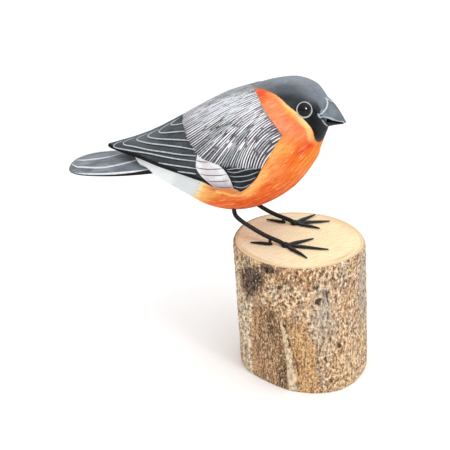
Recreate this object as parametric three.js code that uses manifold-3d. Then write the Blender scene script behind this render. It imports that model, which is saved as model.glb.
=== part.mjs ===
// A carved and painted wooden bullfinch that stands on black wire legs on a short length of log.
// Millimetres, +Z up. The bird looks along +X, and the origin is the middle of the log's sawn underside.
import * as THREE from "three";
import { ParametricGeometry } from "three/addons/geometries/ParametricGeometry.js";
import { mergeVertices } from "three/addons/utils/BufferGeometryUtils.js";
import Module from "manifold-3d";

// Driving dimensions
const LOG_HEIGHT = 72;
const LOG_RADIUS = 34;
const LOG_TOP_CENTRE = { x: -4.1, y: -0.9 };
const BIRD_MIDDLE_Y = 4.2;
const WIRE_RADIUS = 1.15;
const FIT_GAP = 0.3;
const WING_INLAY = 1.8;
const WING_PROUD = 0.4;
const EYE_RADIUS = 4;
const LEG_SOCKET_DEPTH = 6;
const BILL_KEEL = 1.5;
const BILL_GAP = 0.5;

// The bird's own outline, from the tail root to the root of the bill. Each section is two half-ellipses
// that share a waist: its top and bottom are points in the side view, and waist says how far up it lies.
const BODY_SECTIONS = [
  { top: [-92, 113.8], bottom: [-80.5, 101.4], halfWidth: 7.5, waist: 0.5 },
  { top: [-77, 120.5], bottom: [-74.5, 97.5], halfWidth: 12, waist: 0.5 },
  { top: [-68.5, 131], bottom: [-63, 92], halfWidth: 18, waist: 0.5 },
  { top: [-56.5, 138.5], bottom: [-50, 86.5], halfWidth: 22.5, waist: 0.5 },
  { top: [-44.5, 146], bottom: [-36, 85.5], halfWidth: 25, waist: 0.5 },
  { top: [-31, 151.3], bottom: [-21.5, 90], halfWidth: 24.5, waist: 0.5 },
  { top: [-19, 155.5], bottom: [-7, 100.5], halfWidth: 21, waist: 0.5 },
  { top: [-8, 157.3], bottom: [3, 115], halfWidth: 16.5, waist: 0.5 },
  { top: [0.8, 154.9], bottom: [5.2, 122], halfWidth: 13.4, waist: 0.5 },
  { top: [4.9, 151.1], bottom: [6.9, 127.4], halfWidth: 9.8, waist: 0.5 },
  { top: [7.4, 147.8], bottom: [8.4, 132], halfWidth: 6.5, waist: 0.45 },
];

// Behind the shoulders the folded wings stand proud of the body and run on to their joined tips.
const FOLDED_WING_SECTIONS = [
  { top: [-106, 114.4], bottom: [-104.5, 112.6], halfWidth: 1.3, waist: 0.45 },
  { top: [-100, 116.4], bottom: [-97, 110], halfWidth: 4.7, waist: 0.45 },
  { top: [-91.5, 119.4], bottom: [-87.5, 107], halfWidth: 9.2, waist: 0.45 },
  { top: [-82, 123.6], bottom: [-77, 102], halfWidth: 14.2, waist: 0.45 },
  { top: [-71.5, 129.6], bottom: [-65, 95], halfWidth: 18.9, waist: 0.46 },
  { top: [-58.5, 137.8], bottom: [-51, 88], halfWidth: 22.8, waist: 0.48 },
];
const FIRST_SHARED_SECTION = 4;

// The wing's edge in the side view: tip, lower edge, the black coverts' corner, the mantle's border, nape.
const WING_EDGE = [
  [-107.5, 118],
  [-105.6, 114.2],
  [-103.9, 113.2],
  [-86.4, 112.3],
  [-73.5, 111.3],
  [-64.2, 109.8],
  [-50, 107.3],
  [-44.2, 104.4],
  [-37.2, 103.8],
  [-30.8, 103.7],
  [-28, 104.6],
  [-23, 112],
  [-20.7, 116.7],
  [-16.8, 124.3],
  [-13.5, 130.4],
  [-11.3, 134.2],
  [-13.8, 137.4],
  [-17.4, 141.1],
  [-21.3, 145.5],
  [-24.4, 149.7],
  [-28.6, 153.4],
  [-31, 162],
  [-107.5, 162],
];

// The head is parted from the body along a line from the nape to the throat.
const NAPE = [-23, 155.5];
const THROAT = [4.5, 116.5];

const UPPER_BILL_SECTIONS = [
  { top: [5.6, 148.4], bottom: [2.4, 141], halfWidth: 11.7, waist: 0.2 },
  { top: [7.3, 147.9], bottom: [4.6, 139.7], halfWidth: 9.8, waist: 0.18 },
  { top: [9.9, 146.2], bottom: [7.2, 138.5], halfWidth: 7.2, waist: 0.16 },
  { top: [12.8, 142.8], bottom: [10.6, 137.4], halfWidth: 4.6, waist: 0.16 },
  { top: [15.1, 139.4], bottom: [13.7, 136.3], halfWidth: 2.5, waist: 0.2 },
  { top: [17.2, 135.9], bottom: [16.8, 135.1], halfWidth: 0.5, waist: 0.5 },
];
const LOWER_BILL_SECTIONS = [
  { top: [2.8, 140.2], bottom: [5, 131.8], halfWidth: 10.2, waist: 0.85 },
  { top: [6.4, 138.2], bottom: [8.2, 132.9], halfWidth: 7.6, waist: 0.85 },
  { top: [9.9, 137.3], bottom: [10.8, 133.6], halfWidth: 4.6, waist: 0.85 },
  { top: [13, 136], bottom: [13.4, 134.2], halfWidth: 2.4, waist: 0.8 },
  { top: [15.9, 135.3], bottom: [16, 134.7], halfWidth: 0.5, waist: 0.5 },
];
const EYE_CENTRE = [-2.6, -11.1, 144.3];

// The tail is a long leaf of wood that thickens towards its root. The heights are those of its rim.
const TAIL_SECTIONS = [
  { x: -126.9, under: 101, over: 101.9, halfWidth: 3.5 },
  { x: -125.9, under: 100.9, over: 102.2, halfWidth: 7.2 },
  { x: -122.8, under: 100.7, over: 103, halfWidth: 10.8 },
  { x: -117, under: 100.9, over: 104.2, halfWidth: 13.4 },
  { x: -108, under: 101.5, over: 105.5, halfWidth: 14.6 },
  { x: -98, under: 102.1, over: 106.9, halfWidth: 14.2 },
  { x: -88, under: 102.9, over: 108.4, halfWidth: 12.6 },
  { x: -77, under: 103.7, over: 109.8, halfWidth: 10 },
];
const TAIL_CROWN = 1.4;
const TAIL_ROLL = 0.06;

// Legs and feet stand in the log's frame. A leg's route runs from its socket in the belly to the foot.
const FEET = {
  right: {
    route: [
      [-36.3, -9.7, 96.5],
      [-36.3, -9.7, 90],
      [-35.3, -9.7, 86.4],
      [-33, -9.7, 84.3],
      [-29.9, -9.7, 82.2],
      [-21, -9.7, 77.2],
      [-12.8, -10.2, 74.2],
      [-10.4, -10.8, 73.6],
    ],
    hub: [-9.4, -10.9],
    toes: [
      [3.6, 0],
      [12.8, -11],
      [3.6, -22.8],
    ],
    hind: { root: [-16, -10.9], tip: [-27.4, -11], post: -17.3 },
  },
  left: {
    route: [
      [-36.6, 18, 96.5],
      [-36.6, 18, 90],
      [-35.6, 18, 86.4],
      [-33.3, 18, 84],
      [-30.2, 18, 81.7],
      [-21.3, 18, 77],
      [-12.4, 17.5, 74.2],
      [-10, 17, 73.6],
    ],
    hub: [-9, 16.9],
    toes: [
      [0.2, 30.2],
      [9, 23.6],
      [5, 13.3],
    ],
    hind: { root: [-13.8, 16.8], tip: [-24.4, 18.8], post: -15 },
  },
};
const TOE_HALF_WIDTH = 1.5;
const TOE_THICKNESS = 1.1;
const HUB_RADIUS = 2.1;

// Fineness of the faceted surfaces
const BODY_STEPS = 34;
const BODY_SIDES = 36;
const BILL_STEPS = 9;
const BILL_SIDES = 20;
const WIRE_STEPS = 22;
const LOG_SIDES = 60;

const wasm = await Module();
wasm.setup();

// Turns a closed geometry into a solid, whichever way round its faces were made.
function toSolid(geometry) {
  const bare = new THREE.BufferGeometry();
  bare.setAttribute("position", geometry.getAttribute("position"));
  bare.setIndex(geometry.index);
  const merged = mergeVertices(bare, 1e-4);
  const corners = merged.index.array;
  const kept = [];
  for (let i = 0; i < corners.length; i += 3) {
    const [a, b, c] = [corners[i], corners[i + 1], corners[i + 2]];
    if (a !== b && b !== c && c !== a) kept.push(a, b, c);
  }
  const vertProperties = new Float32Array(merged.attributes.position.array);
  const build = (triVerts) => new wasm.Manifold(new wasm.Mesh({ numProp: 3, vertProperties, triVerts }));
  const solid = build(new Uint32Array(kept));
  return solid.volume() < 0 ? build(new Uint32Array(kept.reverse())) : solid;
}

// Turns a solid back into a geometry, keeping its largest closed surface.
function toGeometry(solid) {
  const bodies = solid.decompose().sort((a, b) => b.volume() - a.volume());
  const mesh = bodies[0].getMesh();
  const geometry = new THREE.BufferGeometry();
  geometry.setAttribute("position", new THREE.BufferAttribute(mesh.vertProperties, 3));
  geometry.setIndex(new THREE.BufferAttribute(mesh.triVerts, 1));
  geometry.computeVertexNormals();
  return geometry;
}

function mirrored(geometry) {
  return geometry.clone().scale(1, -1, 1);
}

// Skins a row of closed rings. The first and last rings are closed with a fan to their centres.
function skin(rings) {
  const sides = rings[0].length;
  const centreOf = (ring) => ring.reduce((sum, p) => sum.add(p), new THREE.Vector3()).divideScalar(sides);
  const rows = [Array(sides).fill(centreOf(rings[0])), ...rings, Array(sides).fill(centreOf(rings.at(-1)))];
  const last = rows.length - 1;
  const place = (u, v, target) => target.copy(rows[Math.round(u * last)][Math.round(v * sides) % sides]);
  return new ParametricGeometry(place, last, sides);
}

function smoothLine(points) {
  return new THREE.CatmullRomCurve3(points, false, "catmullrom", 0.5);
}

// Lofts sections of the body kind. swell moves the whole surface out by that much, or in if negative.
// A keel over 1 draws the sides in, so that the top and bottom become ridges.
function loft(sections, steps, sides, swell = 0, keel = 1) {
  const tops = smoothLine(sections.map((s) => new THREE.Vector3(s.top[0], 0, s.top[1])));
  const bottoms = smoothLine(sections.map((s) => new THREE.Vector3(s.bottom[0], 0, s.bottom[1])));
  const girths = smoothLine(sections.map((s) => new THREE.Vector3(s.halfWidth, s.waist, 0)));
  const rings = [];
  for (let i = 0; i <= steps; i += 1) {
    const top = tops.getPoint(i / steps);
    const bottom = bottoms.getPoint(i / steps);
    const girth = girths.getPoint(i / steps);
    const outward = top.clone().sub(bottom).normalize().multiplyScalar(swell);
    top.add(outward);
    bottom.sub(outward);
    const endShift = i === 0 ? -swell : i === steps ? swell : 0;
    const waist = bottom.clone().lerp(top, girth.y);
    const ring = [];
    for (let k = 0; k < sides; k += 1) {
      const angle = (2 * Math.PI * k) / sides;
      const rise = Math.sin(angle);
      const point = waist.clone().lerp(rise > 0 ? top : bottom, Math.abs(rise));
      const side = Math.sign(Math.cos(angle)) * Math.abs(Math.cos(angle)) ** keel;
      ring.push(new THREE.Vector3(point.x + endShift, side * (girth.x + swell), point.z));
    }
    rings.push(ring);
  }
  return skin(rings);
}

// A flat outline in the side view, pushed out sideways from the bird's middle plane to its right.
function sideSlab(outline, inset) {
  const reach = 60;
  const slab = new THREE.ExtrudeGeometry(new THREE.Shape(outline.map((p) => new THREE.Vector2(...p))), {
    depth: reach,
    bevelEnabled: false,
  });
  return slab.rotateX(Math.PI / 2).translate(0, -inset, 0);
}

// Everything ahead of the neck line, moved forward by shift.
function aheadOfNeck(shift) {
  const size = 120;
  const along = new THREE.Vector2(THROAT[0] - NAPE[0], THROAT[1] - NAPE[1]);
  const tilt = Math.atan2(along.x, -along.y);
  const box = new THREE.BoxGeometry(size, size, size).translate(size / 2 + shift, 0, 0);
  return box.rotateY(-tilt).translate((NAPE[0] + THROAT[0]) / 2, 0, (NAPE[1] + THROAT[1]) / 2);
}

function bead(swell) {
  return new THREE.SphereGeometry(EYE_RADIUS + swell, 18, 10).translate(...EYE_CENTRE);
}

function wire(route, radius, steps) {
  const section = new THREE.Shape().absarc(0, 0, radius, 0, 2 * Math.PI);
  const path = smoothLine(route.map((p) => new THREE.Vector3(...p)));
  return new THREE.ExtrudeGeometry(section, { steps, curveSegments: 6, extrudePath: path });
}

function tailBlade() {
  const steps = 20;
  const sides = 24;
  const rims = smoothLine(TAIL_SECTIONS.map((s) => new THREE.Vector3(s.x, s.under, s.over)));
  const widths = smoothLine(TAIL_SECTIONS.map((s) => new THREE.Vector3(s.halfWidth, 0, 0)));
  const rings = [];
  for (let i = 0; i <= steps; i += 1) {
    const rim = rims.getPoint(i / steps);
    const halfWidth = widths.getPoint(i / steps).x;
    const ring = [];
    for (let k = 0; k < sides; k += 1) {
      const angle = (2 * Math.PI * k) / sides;
      const side = Math.cos(angle);
      const rise = Math.sign(Math.sin(angle)) * Math.abs(Math.sin(angle)) ** 0.5;
      const crown = (TAIL_CROWN * (1 - side * side) * halfWidth) / TAIL_SECTIONS[4].halfWidth;
      const height = (rim.y + rim.z) / 2 + (rise * (rim.z - rim.y)) / 2 + crown;
      ring.push(new THREE.Vector3(rim.x, side * halfWidth, height + TAIL_ROLL * side * halfWidth));
    }
    rings.push(ring);
  }
  return skin(rings);
}

// A toe is a strip of hammered wire, widest near its root, that lies on the log and ends in a point.
function toe(root, tip, widest) {
  const steps = 7;
  const sides = 8;
  const start = new THREE.Vector2(...root);
  const run = new THREE.Vector2(...tip).sub(start);
  const across = new THREE.Vector2(-run.y, run.x).normalize();
  const floor = LOG_HEIGHT + FIT_GAP;
  const rings = [];
  for (let i = 0; i <= steps; i += 1) {
    const t = i / steps;
    const fullness = t < widest ? 0.7 + (0.3 * t) / widest : 1 - 0.8 * ((t - widest) / (1 - widest)) ** 1.6;
    const middle = start.clone().addScaledVector(run, t);
    const ring = [];
    for (let k = 0; k < sides; k += 1) {
      const angle = (2 * Math.PI * k) / sides;
      const side = middle.clone().addScaledVector(across, Math.cos(angle) * TOE_HALF_WIDTH * fullness);
      const height = (TOE_THICKNESS * (0.55 + 0.45 * fullness) * (1 + Math.sin(angle))) / 2;
      ring.push(new THREE.Vector3(side.x, side.y, floor + height));
    }
    rings.push(ring);
  }
  return skin(rings);
}

// The log's outline: round at the top, with a flatter side and a swollen one lower down.
function logRadius(angle, height) {
  const down = 1 - height / LOG_HEIGHT;
  const hump = (centre, spread) => {
    const off = THREE.MathUtils.euclideanModulo(angle - centre + Math.PI, 2 * Math.PI) - Math.PI;
    return Math.exp(-((off / spread) ** 2));
  };
  const flat = -(0.4 + 3.6 * down * down) * hump(-2.1, 0.52);
  const swollen = 1.6 * down * hump(-0.8, 0.45);
  const deepBack = 0.9 * hump(1.6, 0.8);
  const uneven = 0.3 * Math.sin(3 * angle + 0.6) + 0.25 * Math.sin(5 * angle + height * 0.03);
  return LOG_RADIUS + flat + swollen + deepBack + uneven;
}

function logBody() {
  const heights = [0, 0.8, 12, 24, 36, 48, 60, LOG_HEIGHT - 0.9, LOG_HEIGHT];
  const rings = heights.map((height) => {
    const sawnEdge = height === 0 || height === LOG_HEIGHT ? 0.5 : 0;
    const lean = height / LOG_HEIGHT;
    const ring = [];
    for (let k = 0; k < LOG_SIDES; k += 1) {
      const angle = (2 * Math.PI * k) / LOG_SIDES;
      const radius = logRadius(angle, height) - sawnEdge;
      const x = LOG_TOP_CENTRE.x * lean + radius * Math.cos(angle);
      const y = LOG_TOP_CENTRE.y * lean + radius * Math.sin(angle);
      ring.push(new THREE.Vector3(x, y, height));
    }
    return ring;
  });
  return skin(rings);
}

const paint = (color, roughness) => new THREE.MeshStandardMaterial({ color, roughness, metalness: 0 });
const materials = {
  breast: paint(0xe8742c, 0.5),
  cap: paint(0x2a2c30, 0.45),
  wing: paint(0x4c4a50, 0.5),
  tail: paint(0x54585e, 0.5),
  bill: paint(0x5a6068, 0.4),
  eye: paint(0x060606, 0.08),
  wire: new THREE.MeshStandardMaterial({ color: 0x16171a, roughness: 0.35, metalness: 0.6 }),
  bark: paint(0x9a7650, 0.9),
};

function piece(name, geometry, material) {
  const mesh = new THREE.Mesh(geometry, material);
  mesh.name = name;
  return mesh;
}

// A piece made for the bird's right side, and its mirror image on the left.
function pair(name, geometry, material) {
  const right = piece(name + "_right", geometry, material);
  const left = piece(name + "_left", geometry, material);
  left.scale.y = -1;
  return [right, left];
}

const body = toSolid(loft(BODY_SECTIONS, BODY_STEPS, BODY_SIDES));
const wingSections = [...FOLDED_WING_SECTIONS, ...BODY_SECTIONS.slice(FIRST_SHARED_SECTION)];
const wingSurface = toSolid(loft(wingSections, BODY_STEPS, BODY_SIDES, WING_PROUD));

// Each wing is a plate let into the side of the body. Behind the body the two fill the wedge over the tail.
const pocketFloor = toSolid(loft(BODY_SECTIONS, BODY_STEPS, BODY_SIDES, -WING_INLAY));
const wingBed = toSolid(loft(BODY_SECTIONS, BODY_STEPS, BODY_SIDES, FIT_GAP - WING_INLAY));
const rightWing = wingSurface.intersect(toSolid(sideSlab(WING_EDGE, FIT_GAP / 2))).subtract(wingBed);

// The pocket's outline is the wing's own, moved out from its middle by about the gap.
const wingMiddle = new THREE.Vector2(-60, 130);
const pocketEdge = WING_EDGE.map((corner) => {
  const out = new THREE.Vector2(...corner).sub(wingMiddle);
  out.setLength(out.length() + 2 * FIT_GAP).add(wingMiddle);
  return [out.x, out.y];
});
const rightPocket = sideSlab(pocketEdge, -FIT_GAP);
const pockets = toSolid(rightPocket).add(toSolid(mirrored(rightPocket))).subtract(pocketFloor);

// A hole in the belly takes the end of each leg's wire.
function legSocket(side) {
  const [x, y, z] = FEET[side].route[0];
  const drilling = [
    [x, y - BIRD_MIDDLE_Y, z + FIT_GAP],
    [x, y - BIRD_MIDDLE_Y, z - 2 * LEG_SOCKET_DEPTH],
  ];
  return toSolid(wire(drilling, WIRE_RADIUS + FIT_GAP, 1));
}

const torso = body
  .subtract(toSolid(aheadOfNeck(-FIT_GAP)))
  .subtract(pockets)
  .subtract(legSocket("right"))
  .subtract(legSocket("left"));
const upperBill = toSolid(loft(UPPER_BILL_SECTIONS, BILL_STEPS, BILL_SIDES, 0, BILL_KEEL));
const upperBillRoom = toSolid(loft(UPPER_BILL_SECTIONS, BILL_STEPS, BILL_SIDES, BILL_GAP, BILL_KEEL));
const lowerBill = toSolid(loft(LOWER_BILL_SECTIONS, BILL_STEPS, BILL_SIDES, 0, BILL_KEEL)).subtract(upperBillRoom);
const lowerBillRoom = toSolid(loft(LOWER_BILL_SECTIONS, BILL_STEPS, BILL_SIDES, BILL_GAP, BILL_KEEL));
const head = body
  .intersect(toSolid(aheadOfNeck(0)))
  .subtract(upperBillRoom)
  .subtract(lowerBillRoom)
  .subtract(toSolid(bead(FIT_GAP)))
  .subtract(toSolid(mirrored(bead(FIT_GAP))));

const bodyRoom = toSolid(loft(BODY_SECTIONS, BODY_STEPS, BODY_SIDES, FIT_GAP));
const wingRoomSurface = toSolid(loft(wingSections, BODY_STEPS, BODY_SIDES, WING_PROUD + FIT_GAP));
const wingUndersideRoom = WING_EDGE.map(([x, z]) => [x, z - FIT_GAP]);
const wingRoomSlab = sideSlab(wingUndersideRoom, -1);
const wingRoom = wingRoomSurface.intersect(toSolid(wingRoomSlab).add(toSolid(mirrored(wingRoomSlab))));
const tail = toSolid(tailBlade()).subtract(bodyRoom).subtract(wingRoom);

const bird = new THREE.Group();
bird.position.y = BIRD_MIDDLE_Y;
bird.add(
  piece("torso", toGeometry(torso), materials.breast),
  piece("head", toGeometry(head), materials.cap),
  piece("bill_upper", toGeometry(upperBill), materials.bill),
  piece("bill_lower", toGeometry(lowerBill), materials.bill),
  piece("tail", toGeometry(tail), materials.tail),
  ...pair("wing", toGeometry(rightWing), materials.wing),
  ...pair("eye", bead(0), materials.eye),
);

const group = new THREE.Group();
group.add(bird, piece("log", toGeometry(toSolid(logBody())), materials.bark));
for (const side of ["right", "left"]) {
  const { route, hub, toes, hind } = FEET[side];
  const hubHeight = TOE_THICKNESS + 0.5;
  const disc = new THREE.CylinderGeometry(HUB_RADIUS * 0.8, HUB_RADIUS, hubHeight, 14);
  disc.rotateX(Math.PI / 2).translate(hub[0], hub[1], LOG_HEIGHT + FIT_GAP + hubHeight / 2);
  const wireRoom = toSolid(wire(route, WIRE_RADIUS + FIT_GAP, WIRE_STEPS));
  const foot = toes.reduce((sum, tip) => sum.add(toSolid(toe(hub, tip, 0.35))), toSolid(disc));
  const spur = toSolid(toe(hind.root, hind.tip, 0.3));
  const post = new THREE.CylinderGeometry(0.8, 0.8, 3, 10);
  post.rotateX(Math.PI / 2).translate(hind.post, hind.root[1], LOG_HEIGHT + 2 * FIT_GAP + 1.5);
  group.add(
    piece("leg_" + side, toGeometry(toSolid(wire(route, WIRE_RADIUS, WIRE_STEPS))), materials.wire),
    piece("foot_" + side, toGeometry(foot.subtract(wireRoom)), materials.wire),
    piece("hind_toe_" + side, toGeometry(spur.add(toSolid(post)).subtract(wireRoom)), materials.wire),
  );
}

export default group;
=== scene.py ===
# A carved and painted wooden bullfinch on black wire legs, standing on a short length of log.
# Sizes are millimetres in the object's own frame: the bird looks along +X, the log stands on Z = 0.
import math

import bmesh
import bpy
import numpy as np
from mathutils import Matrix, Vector


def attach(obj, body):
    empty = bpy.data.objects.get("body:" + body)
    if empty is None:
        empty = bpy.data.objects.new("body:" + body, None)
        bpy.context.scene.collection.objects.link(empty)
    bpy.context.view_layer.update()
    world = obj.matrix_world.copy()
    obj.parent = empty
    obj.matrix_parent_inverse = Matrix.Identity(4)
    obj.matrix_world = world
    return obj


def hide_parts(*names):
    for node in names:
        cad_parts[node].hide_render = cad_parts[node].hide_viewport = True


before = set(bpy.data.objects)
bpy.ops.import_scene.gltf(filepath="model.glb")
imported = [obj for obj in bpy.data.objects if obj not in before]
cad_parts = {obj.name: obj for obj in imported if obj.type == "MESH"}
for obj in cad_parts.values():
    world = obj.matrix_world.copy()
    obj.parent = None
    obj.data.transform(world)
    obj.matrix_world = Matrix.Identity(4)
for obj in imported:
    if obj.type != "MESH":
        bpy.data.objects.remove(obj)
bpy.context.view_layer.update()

# The log
# A length of branch, sawn across at both ends, that carries the whole ornament. Its bark is left on,
# thin and weathered, with a bare streaky patch in front. The saw's marks still show on the pale top.
MM = 0.001
LOG_HEIGHT = 72.0
LOG_RADIUS = 34.0
LOG_TOP_CENTRE = (-4.1, -0.9)
SAWN_EDGE = 0.5
SAWN_EDGE_HEIGHT = 0.9
BARK_COLUMNS = 420
BARK_ROWS = 128


class Flow:
    """A value that runs through a tree of nodes. It adds up and multiplies as a number does."""

    def __init__(self, tree, socket):
        self.tree = tree
        self.socket = socket

    def __add__(self, other):
        return calc("ADD", self, other)

    def __sub__(self, other):
        return calc("SUBTRACT", self, other)

    def __rsub__(self, other):
        return calc("SUBTRACT", other, self)

    def __mul__(self, other):
        """Times a number, or times three factors that draw a pattern out or squeeze it."""
        if isinstance(other, tuple):
            return flow(self.tree, "ShaderNodeVectorMath", {0: self, 1: other}, operation="MULTIPLY")
        return calc("MULTIPLY", self, other)


def add(tree, kind, inputs=None, **settings):
    """Puts a node in a tree, then sets or links its inputs by name or by place."""
    node = tree.nodes.new(kind)
    for name, value in settings.items():
        setattr(node, name, value)
    for key, value in (inputs or {}).items():
        if isinstance(value, Flow):
            tree.links.new(value.socket, node.inputs[key])
        else:
            node.inputs[key].default_value = value
    return node


def flow(tree, kind, inputs=None, output=0, **settings):
    """Puts a node in a tree and gives one of its outputs."""
    return Flow(tree, add(tree, kind, inputs, **settings).outputs[output])


def calc(operation, a, b=0.0):
    tree = a.tree if isinstance(a, Flow) else b.tree
    return flow(tree, "ShaderNodeMath", {0: a, 1: b}, operation=operation)


def noise(where, size, detail=2.0, roughness=0.5):
    """Soft lumps about size millimetres across, from 0 to 1. where is in millimetres."""
    inputs = {"Vector": where, "Scale": 1 / size, "Detail": detail, "Roughness": roughness}
    return flow(where.tree, "ShaderNodeTexNoise", inputs)


def fade(value, start, end, low=0.0, high=1.0):
    """Goes smoothly from low to high as value goes from start to end."""
    inputs = {"Value": value, "From Min": start, "From Max": end, "To Min": low, "To Max": high}
    return flow(value.tree, "ShaderNodeMapRange", inputs, interpolation_type="SMOOTHSTEP")


def tint(code):
    """A colour from its screen code, as the light that it gives back. Any other value stays as it is."""
    if not isinstance(code, str):
        return code
    parts = [int(code[i : i + 2], 16) / 255 for i in (1, 3, 5)]
    return (*[p / 12.92 if p <= 0.04045 else ((p + 0.055) / 1.055) ** 2.4 for p in parts], 1.0)


def mix(share, ground, over, blend="MIX"):
    """One colour laid over another."""
    tree = next(value.tree for value in (share, ground, over) if isinstance(value, Flow))
    inputs = {0: share, 6: tint(ground), 7: tint(over)}
    return flow(tree, "ShaderNodeMix", inputs, 2, data_type="RGBA", blend_type=blend)


def coats(colour, *layers):
    """Coats laid over a colour one by one, each given by where it shows and its own colour."""
    for share, over in layers:
        colour = mix(share, colour, over)
    return colour


def kept(tree, name, output="Fac"):
    """A number, vector or colour kept on the mesh, of the name it was kept by."""
    return flow(tree, "ShaderNodeAttribute", output=output, attribute_name=name)


def place_in_mm(tree):
    return flow(tree, "ShaderNodeTexCoord", output="Object") * (1 / MM, 1 / MM, 1 / MM)


def along_axis(vector, axis):
    return flow(vector.tree, "ShaderNodeSeparateXYZ", {0: vector}, axis)


def new_material(name, recipe, **sockets):
    """A material. Its recipe wires colours, roughness and height, in millimetres, to the named sockets."""
    material = bpy.data.materials.new(name)
    material.use_nodes = True
    tree = material.node_tree
    surface = tree.nodes["Principled BSDF"]
    for socket, value in sockets.items():
        surface.inputs[socket.replace("_", " ")].default_value = value
    for socket, value in recipe(tree).items():
        if socket == "Height":
            socket, value = "Normal", flow(tree, "ShaderNodeBump", {"Height": value, "Distance": MM})
        tree.links.new(value.socket, surface.inputs[socket])
    return material


def closed_skin(rings):
    """Points and faces of a form skinned over closed rings, with a fan over each end."""
    rows, columns = len(rings), len(rings[0])
    points = np.vstack([np.reshape(rings, (-1, 3)), np.mean(rings[0], 0), np.mean(rings[-1], 0)])
    i, j = np.meshgrid(np.arange(rows - 1), np.arange(columns), indexing="ij")
    k = (j + 1) % columns
    corners = [i * columns + j, i * columns + k, (i + 1) * columns + k, (i + 1) * columns + j]
    faces = np.stack(corners, -1).reshape(-1, 4).tolist()
    first, last, last_row = rows * columns, rows * columns + 1, (rows - 1) * columns
    for here in range(columns):
        beside = (here + 1) % columns
        faces.append([first, beside, here])
        faces.append([last, last_row + here, last_row + beside])
    return points, faces


def put_in_scene(name, data):
    made = bpy.data.objects.new(name, data)
    bpy.context.scene.collection.objects.link(made)
    return made


def new_object(name, points, faces, edges=()):
    """A mesh object in the scene, from points in millimetres, with its faces turned outwards."""
    mesh = bpy.data.meshes.new(name)
    mesh.from_pydata((np.asarray(points) * MM).tolist(), list(edges), faces)
    if len(faces):
        build = bmesh.new()
        build.from_mesh(mesh)
        bmesh.ops.recalc_face_normals(build, faces=build.faces)
        build.to_mesh(mesh)
        build.free()
        mesh.shade_smooth()
    return put_in_scene(name, mesh)


def keep(made, **layers):
    """Keeps numbers or vectors for the points of a mesh, under their names, for later steps to follow."""
    for name, values in layers.items():
        values = np.asarray(values, np.float32)
        kind, field = ("FLOAT_VECTOR", "vector") if values.ndim == 2 else ("FLOAT", "value")
        layer = made.data.attributes.new(name, kind, "POINT")
        layer.data.foreach_set(field, values.ravel())


def new_tree(name, kind, inputs, outputs):
    """A tree of nodes with named inputs and outputs. Gives the tree and its inputs."""
    tree = bpy.data.node_groups.new(name, kind)
    for way, sockets in (("INPUT", inputs), ("OUTPUT", outputs)):
        for title, carries in sockets.items():
            tree.interface.new_socket(title, in_out=way, socket_type="NodeSocket" + carries)
    return tree, {socket.name: Flow(tree, socket) for socket in tree.nodes.new("NodeGroupInput").outputs}


def new_growth(name, **sizes):
    """A Geometry Nodes tree with named sizes, an object or a finish among its inputs."""
    inputs = {"Geometry": "Geometry", **sizes, "Finish": "Material"}
    return new_tree(name, "GeometryNodeTree", inputs, {"Geometry": "Geometry"})


def end_growth(given, geometry):
    """Ends a Geometry Nodes tree: real points, smooth faces and the given finish."""
    tree = geometry.tree
    real = flow(tree, "GeometryNodeRealizeInstances", {"Geometry": geometry})
    smooth = flow(tree, "GeometryNodeSetShadeSmooth", {"Geometry": real})
    coated = flow(tree, "GeometryNodeSetMaterial", {"Geometry": smooth, "Material": given["Finish"]})
    add(tree, "NodeGroupOutput", {0: coated})


def grow(name, guide, tree, **sizes):
    """Runs a Geometry Nodes tree over a guide, and keeps the result as a plain mesh object."""
    modifier = guide.modifiers.new(name, "NODES")
    modifier.node_group = tree
    for item in tree.interface.items_tree:
        if item.in_out == "INPUT" and item.name in sizes:
            modifier[item.identifier] = sizes[item.name]
    guide.update_tag()
    graph = bpy.context.evaluated_depsgraph_get()
    finished = guide.evaluated_get(graph)
    mesh = bpy.data.meshes.new_from_object(finished, preserve_all_data_layers=True, depsgraph=graph)
    guide.modifiers.remove(modifier)
    bpy.data.objects.remove(guide)
    return put_in_scene(name, mesh)


def settle(made, slot, *stands_for, finish=None):
    """A finished piece: it belongs to the one rigid body and stands for these solids."""
    if finish:
        made.data.materials.append(finish)
    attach(made, "root")
    if stands_for:
        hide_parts(*stands_for)


def bell(*offs):
    """1 where every off is 0, falling softly to 0 on all sides."""
    return np.exp(-sum(np.square(off) for off in offs))


def hump(angle, centre, spread):
    """A smooth swelling round one side of the log."""
    return bell(((angle - centre + math.pi) % (2 * math.pi) - math.pi) / spread)


def log_radius(angle, height):
    down = 1 - height / LOG_HEIGHT
    flat = -(0.4 + 3.6 * down**2) * hump(angle, -2.1, 0.52)
    swollen = 1.6 * down * hump(angle, -0.8, 0.45)
    deep_back = 0.9 * hump(angle, 1.6, 0.8)
    uneven = 0.3 * np.sin(3 * angle + 0.6) + 0.25 * np.sin(5 * angle + height * 0.03)
    return LOG_RADIUS + flat + swollen + deep_back + uneven


def log_ring(height, inset=0.0, share=1.0):
    """One ring of the log, all its outline or a share of it, drawn towards its middle."""
    angle = np.linspace(0, 2 * math.pi, BARK_COLUMNS, endpoint=False)
    radius = (log_radius(angle, height) - inset) * share
    lean = height / LOG_HEIGHT
    x = LOG_TOP_CENTRE[0] * lean + radius * np.cos(angle)
    y = LOG_TOP_CENTRE[1] * lean + radius * np.sin(angle)
    return np.stack([x, y, np.full(BARK_COLUMNS, height)], -1)


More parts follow.
